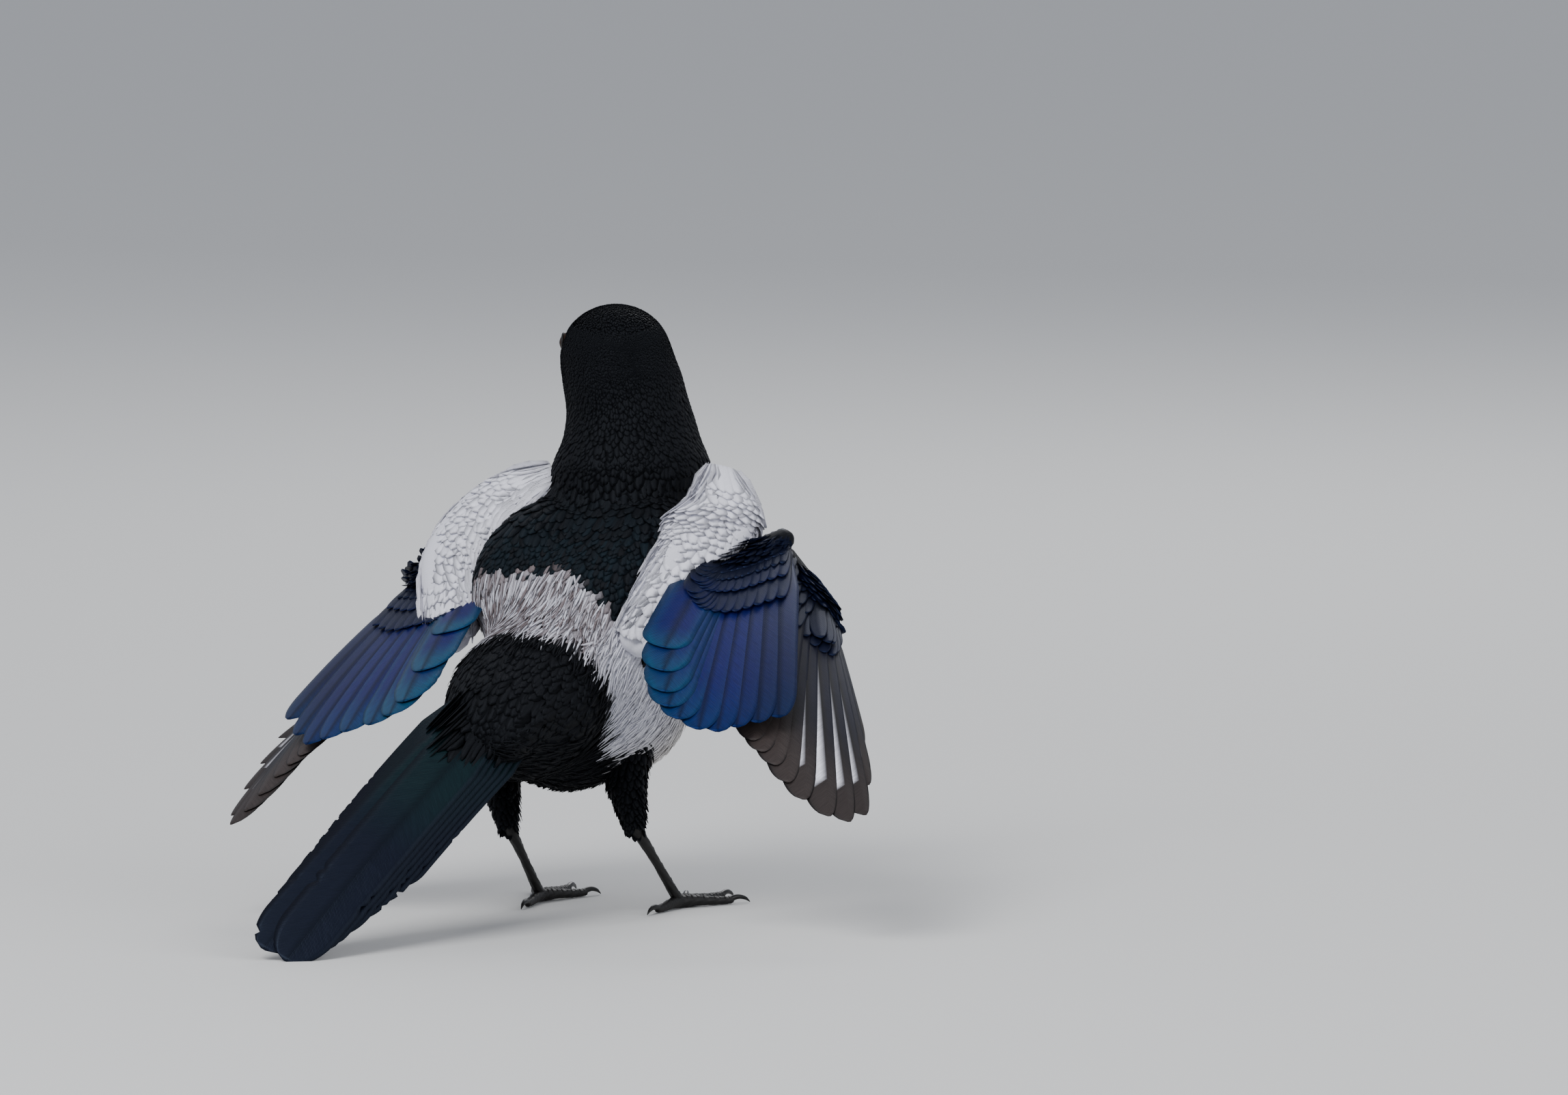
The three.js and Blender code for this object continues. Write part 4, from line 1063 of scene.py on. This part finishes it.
def eyes():
    wet = eye_material()
    rows, sides = 40, 48
    for sign, name in ((1, "R"), (-1, "L")):
        centre = head_place(EYE_PLACE[0], sign * EYE_PLACE[1], EYE_PLACE[2])
        outward = unit(vec(0.4, sign, 0.04) @ HEAD)
        first = unit(np.cross(outward, HEAD[2]))
        second = np.cross(outward, first)
        polar = np.linspace(0.02, np.pi - 0.02, rows)
        around = np.linspace(0, 2 * np.pi, sides, endpoint=False)
        p, a = np.meshgrid(polar, around, indexing="ij")
        bulge = EYE_RADIUS * (1 + EYE_BULGE * np.exp(-(p / 0.6) ** 2))
        points = centre + (bulge * np.cos(p))[..., None] * outward + (bulge * np.sin(p))[..., None] * (
            np.cos(a)[..., None] * first + np.sin(a)[..., None] * second)
        points = points.reshape(-1, 3)
        tone = np.where((p < PUPIL_REACH)[..., None], PUPIL_TONE, IRIS_TONE).reshape(-1, 3)
        front = centre + outward * EYE_RADIUS * (1 + EYE_BULGE)
        points = np.vstack([points, front, centre - outward * EYE_RADIUS])
        tone = np.vstack([tone, PUPIL_TONE, PUPIL_TONE])
        ball = solid(f"eyeball_{name}", points, tube_faces(rows, sides), wet, {"tone": tone})
        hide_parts(f"eye_{name}")
        lid(name, centre, outward, first, second)


# Stage


FLOOR_HALF = 6.0  # metres, as are the places and sizes of the lamps
LAMPS = (
    ("key", (-0.9, -1.3, 1.9), 1.2, 46),
    ("fill", (1.5, -0.8, 0.9), 1.4, 12),
    ("rim", (0.4, 1.6, 1.3), 1.0, 14),
)


def stage():
    material, nodes, links, shader = node_material("pale_floor")
    ramped_colour(nodes, links, shader, noise_node(nodes, 3.0), (0.60, 0.60, 0.59), (0.66, 0.66, 0.65))
    shader.inputs["Roughness"].default_value = 0.9
    mesh = bpy.data.meshes.new("floor")
    corners = [(FLOOR_HALF * x, FLOOR_HALF * y, 0) for x, y in ((-1, -1), (1, -1), (1, 1), (-1, 1))]
    mesh.from_pydata(corners, [], [(0, 1, 2, 3)])
    mesh.materials.append(material)
    add_object("floor", mesh)
    world = bpy.data.worlds.new("studio")
    world.use_nodes = True
    sky = world.node_tree.nodes["Background"]
    sky.inputs["Color"].default_value = (0.86, 0.9, 1.0, 1)
    sky.inputs["Strength"].default_value = 0.6
    bpy.context.scene.world = world
    middle = (vec(0, 0, 120) + SHIFT) * MM
    for name, place, size, power in LAMPS:
        light = bpy.data.lights.new(name, "AREA")
        light.size = size
        light.energy = power
        lamp = add_object(name, light)
        lamp.location = place
        aim(lamp, middle)


def aim(thing, target):
    direction = Vector(target) - thing.location
    thing.rotation_euler = direction.to_track_quat("-Z", "Y").to_euler()


def camera():
    angle = math.radians(CAMERA_HEIGHT_ANGLE)
    target = (vec(VIEW_CENTRE) + SHIFT) * MM
    away = vec(0, -math.cos(angle), math.sin(angle)) * CAMERA_DISTANCE * MM
    data = bpy.data.cameras.new("camera")
    data.sensor_width = 36
    data.lens = data.sensor_width * CAMERA_DISTANCE / (PHOTO_WIDTH / PHOTO_SCALE)
    data.clip_end = 100
    thing = add_object("camera", data)
    thing.location = target + away
    aim(thing, target)
    bpy.context.scene.camera = thing


body_skin()
body_coat()
for name in "RL":
    wing(name)
    shoulder(name)
    leg(name)
tail()
bill()
bristles()
eyes()
stage()
camera()
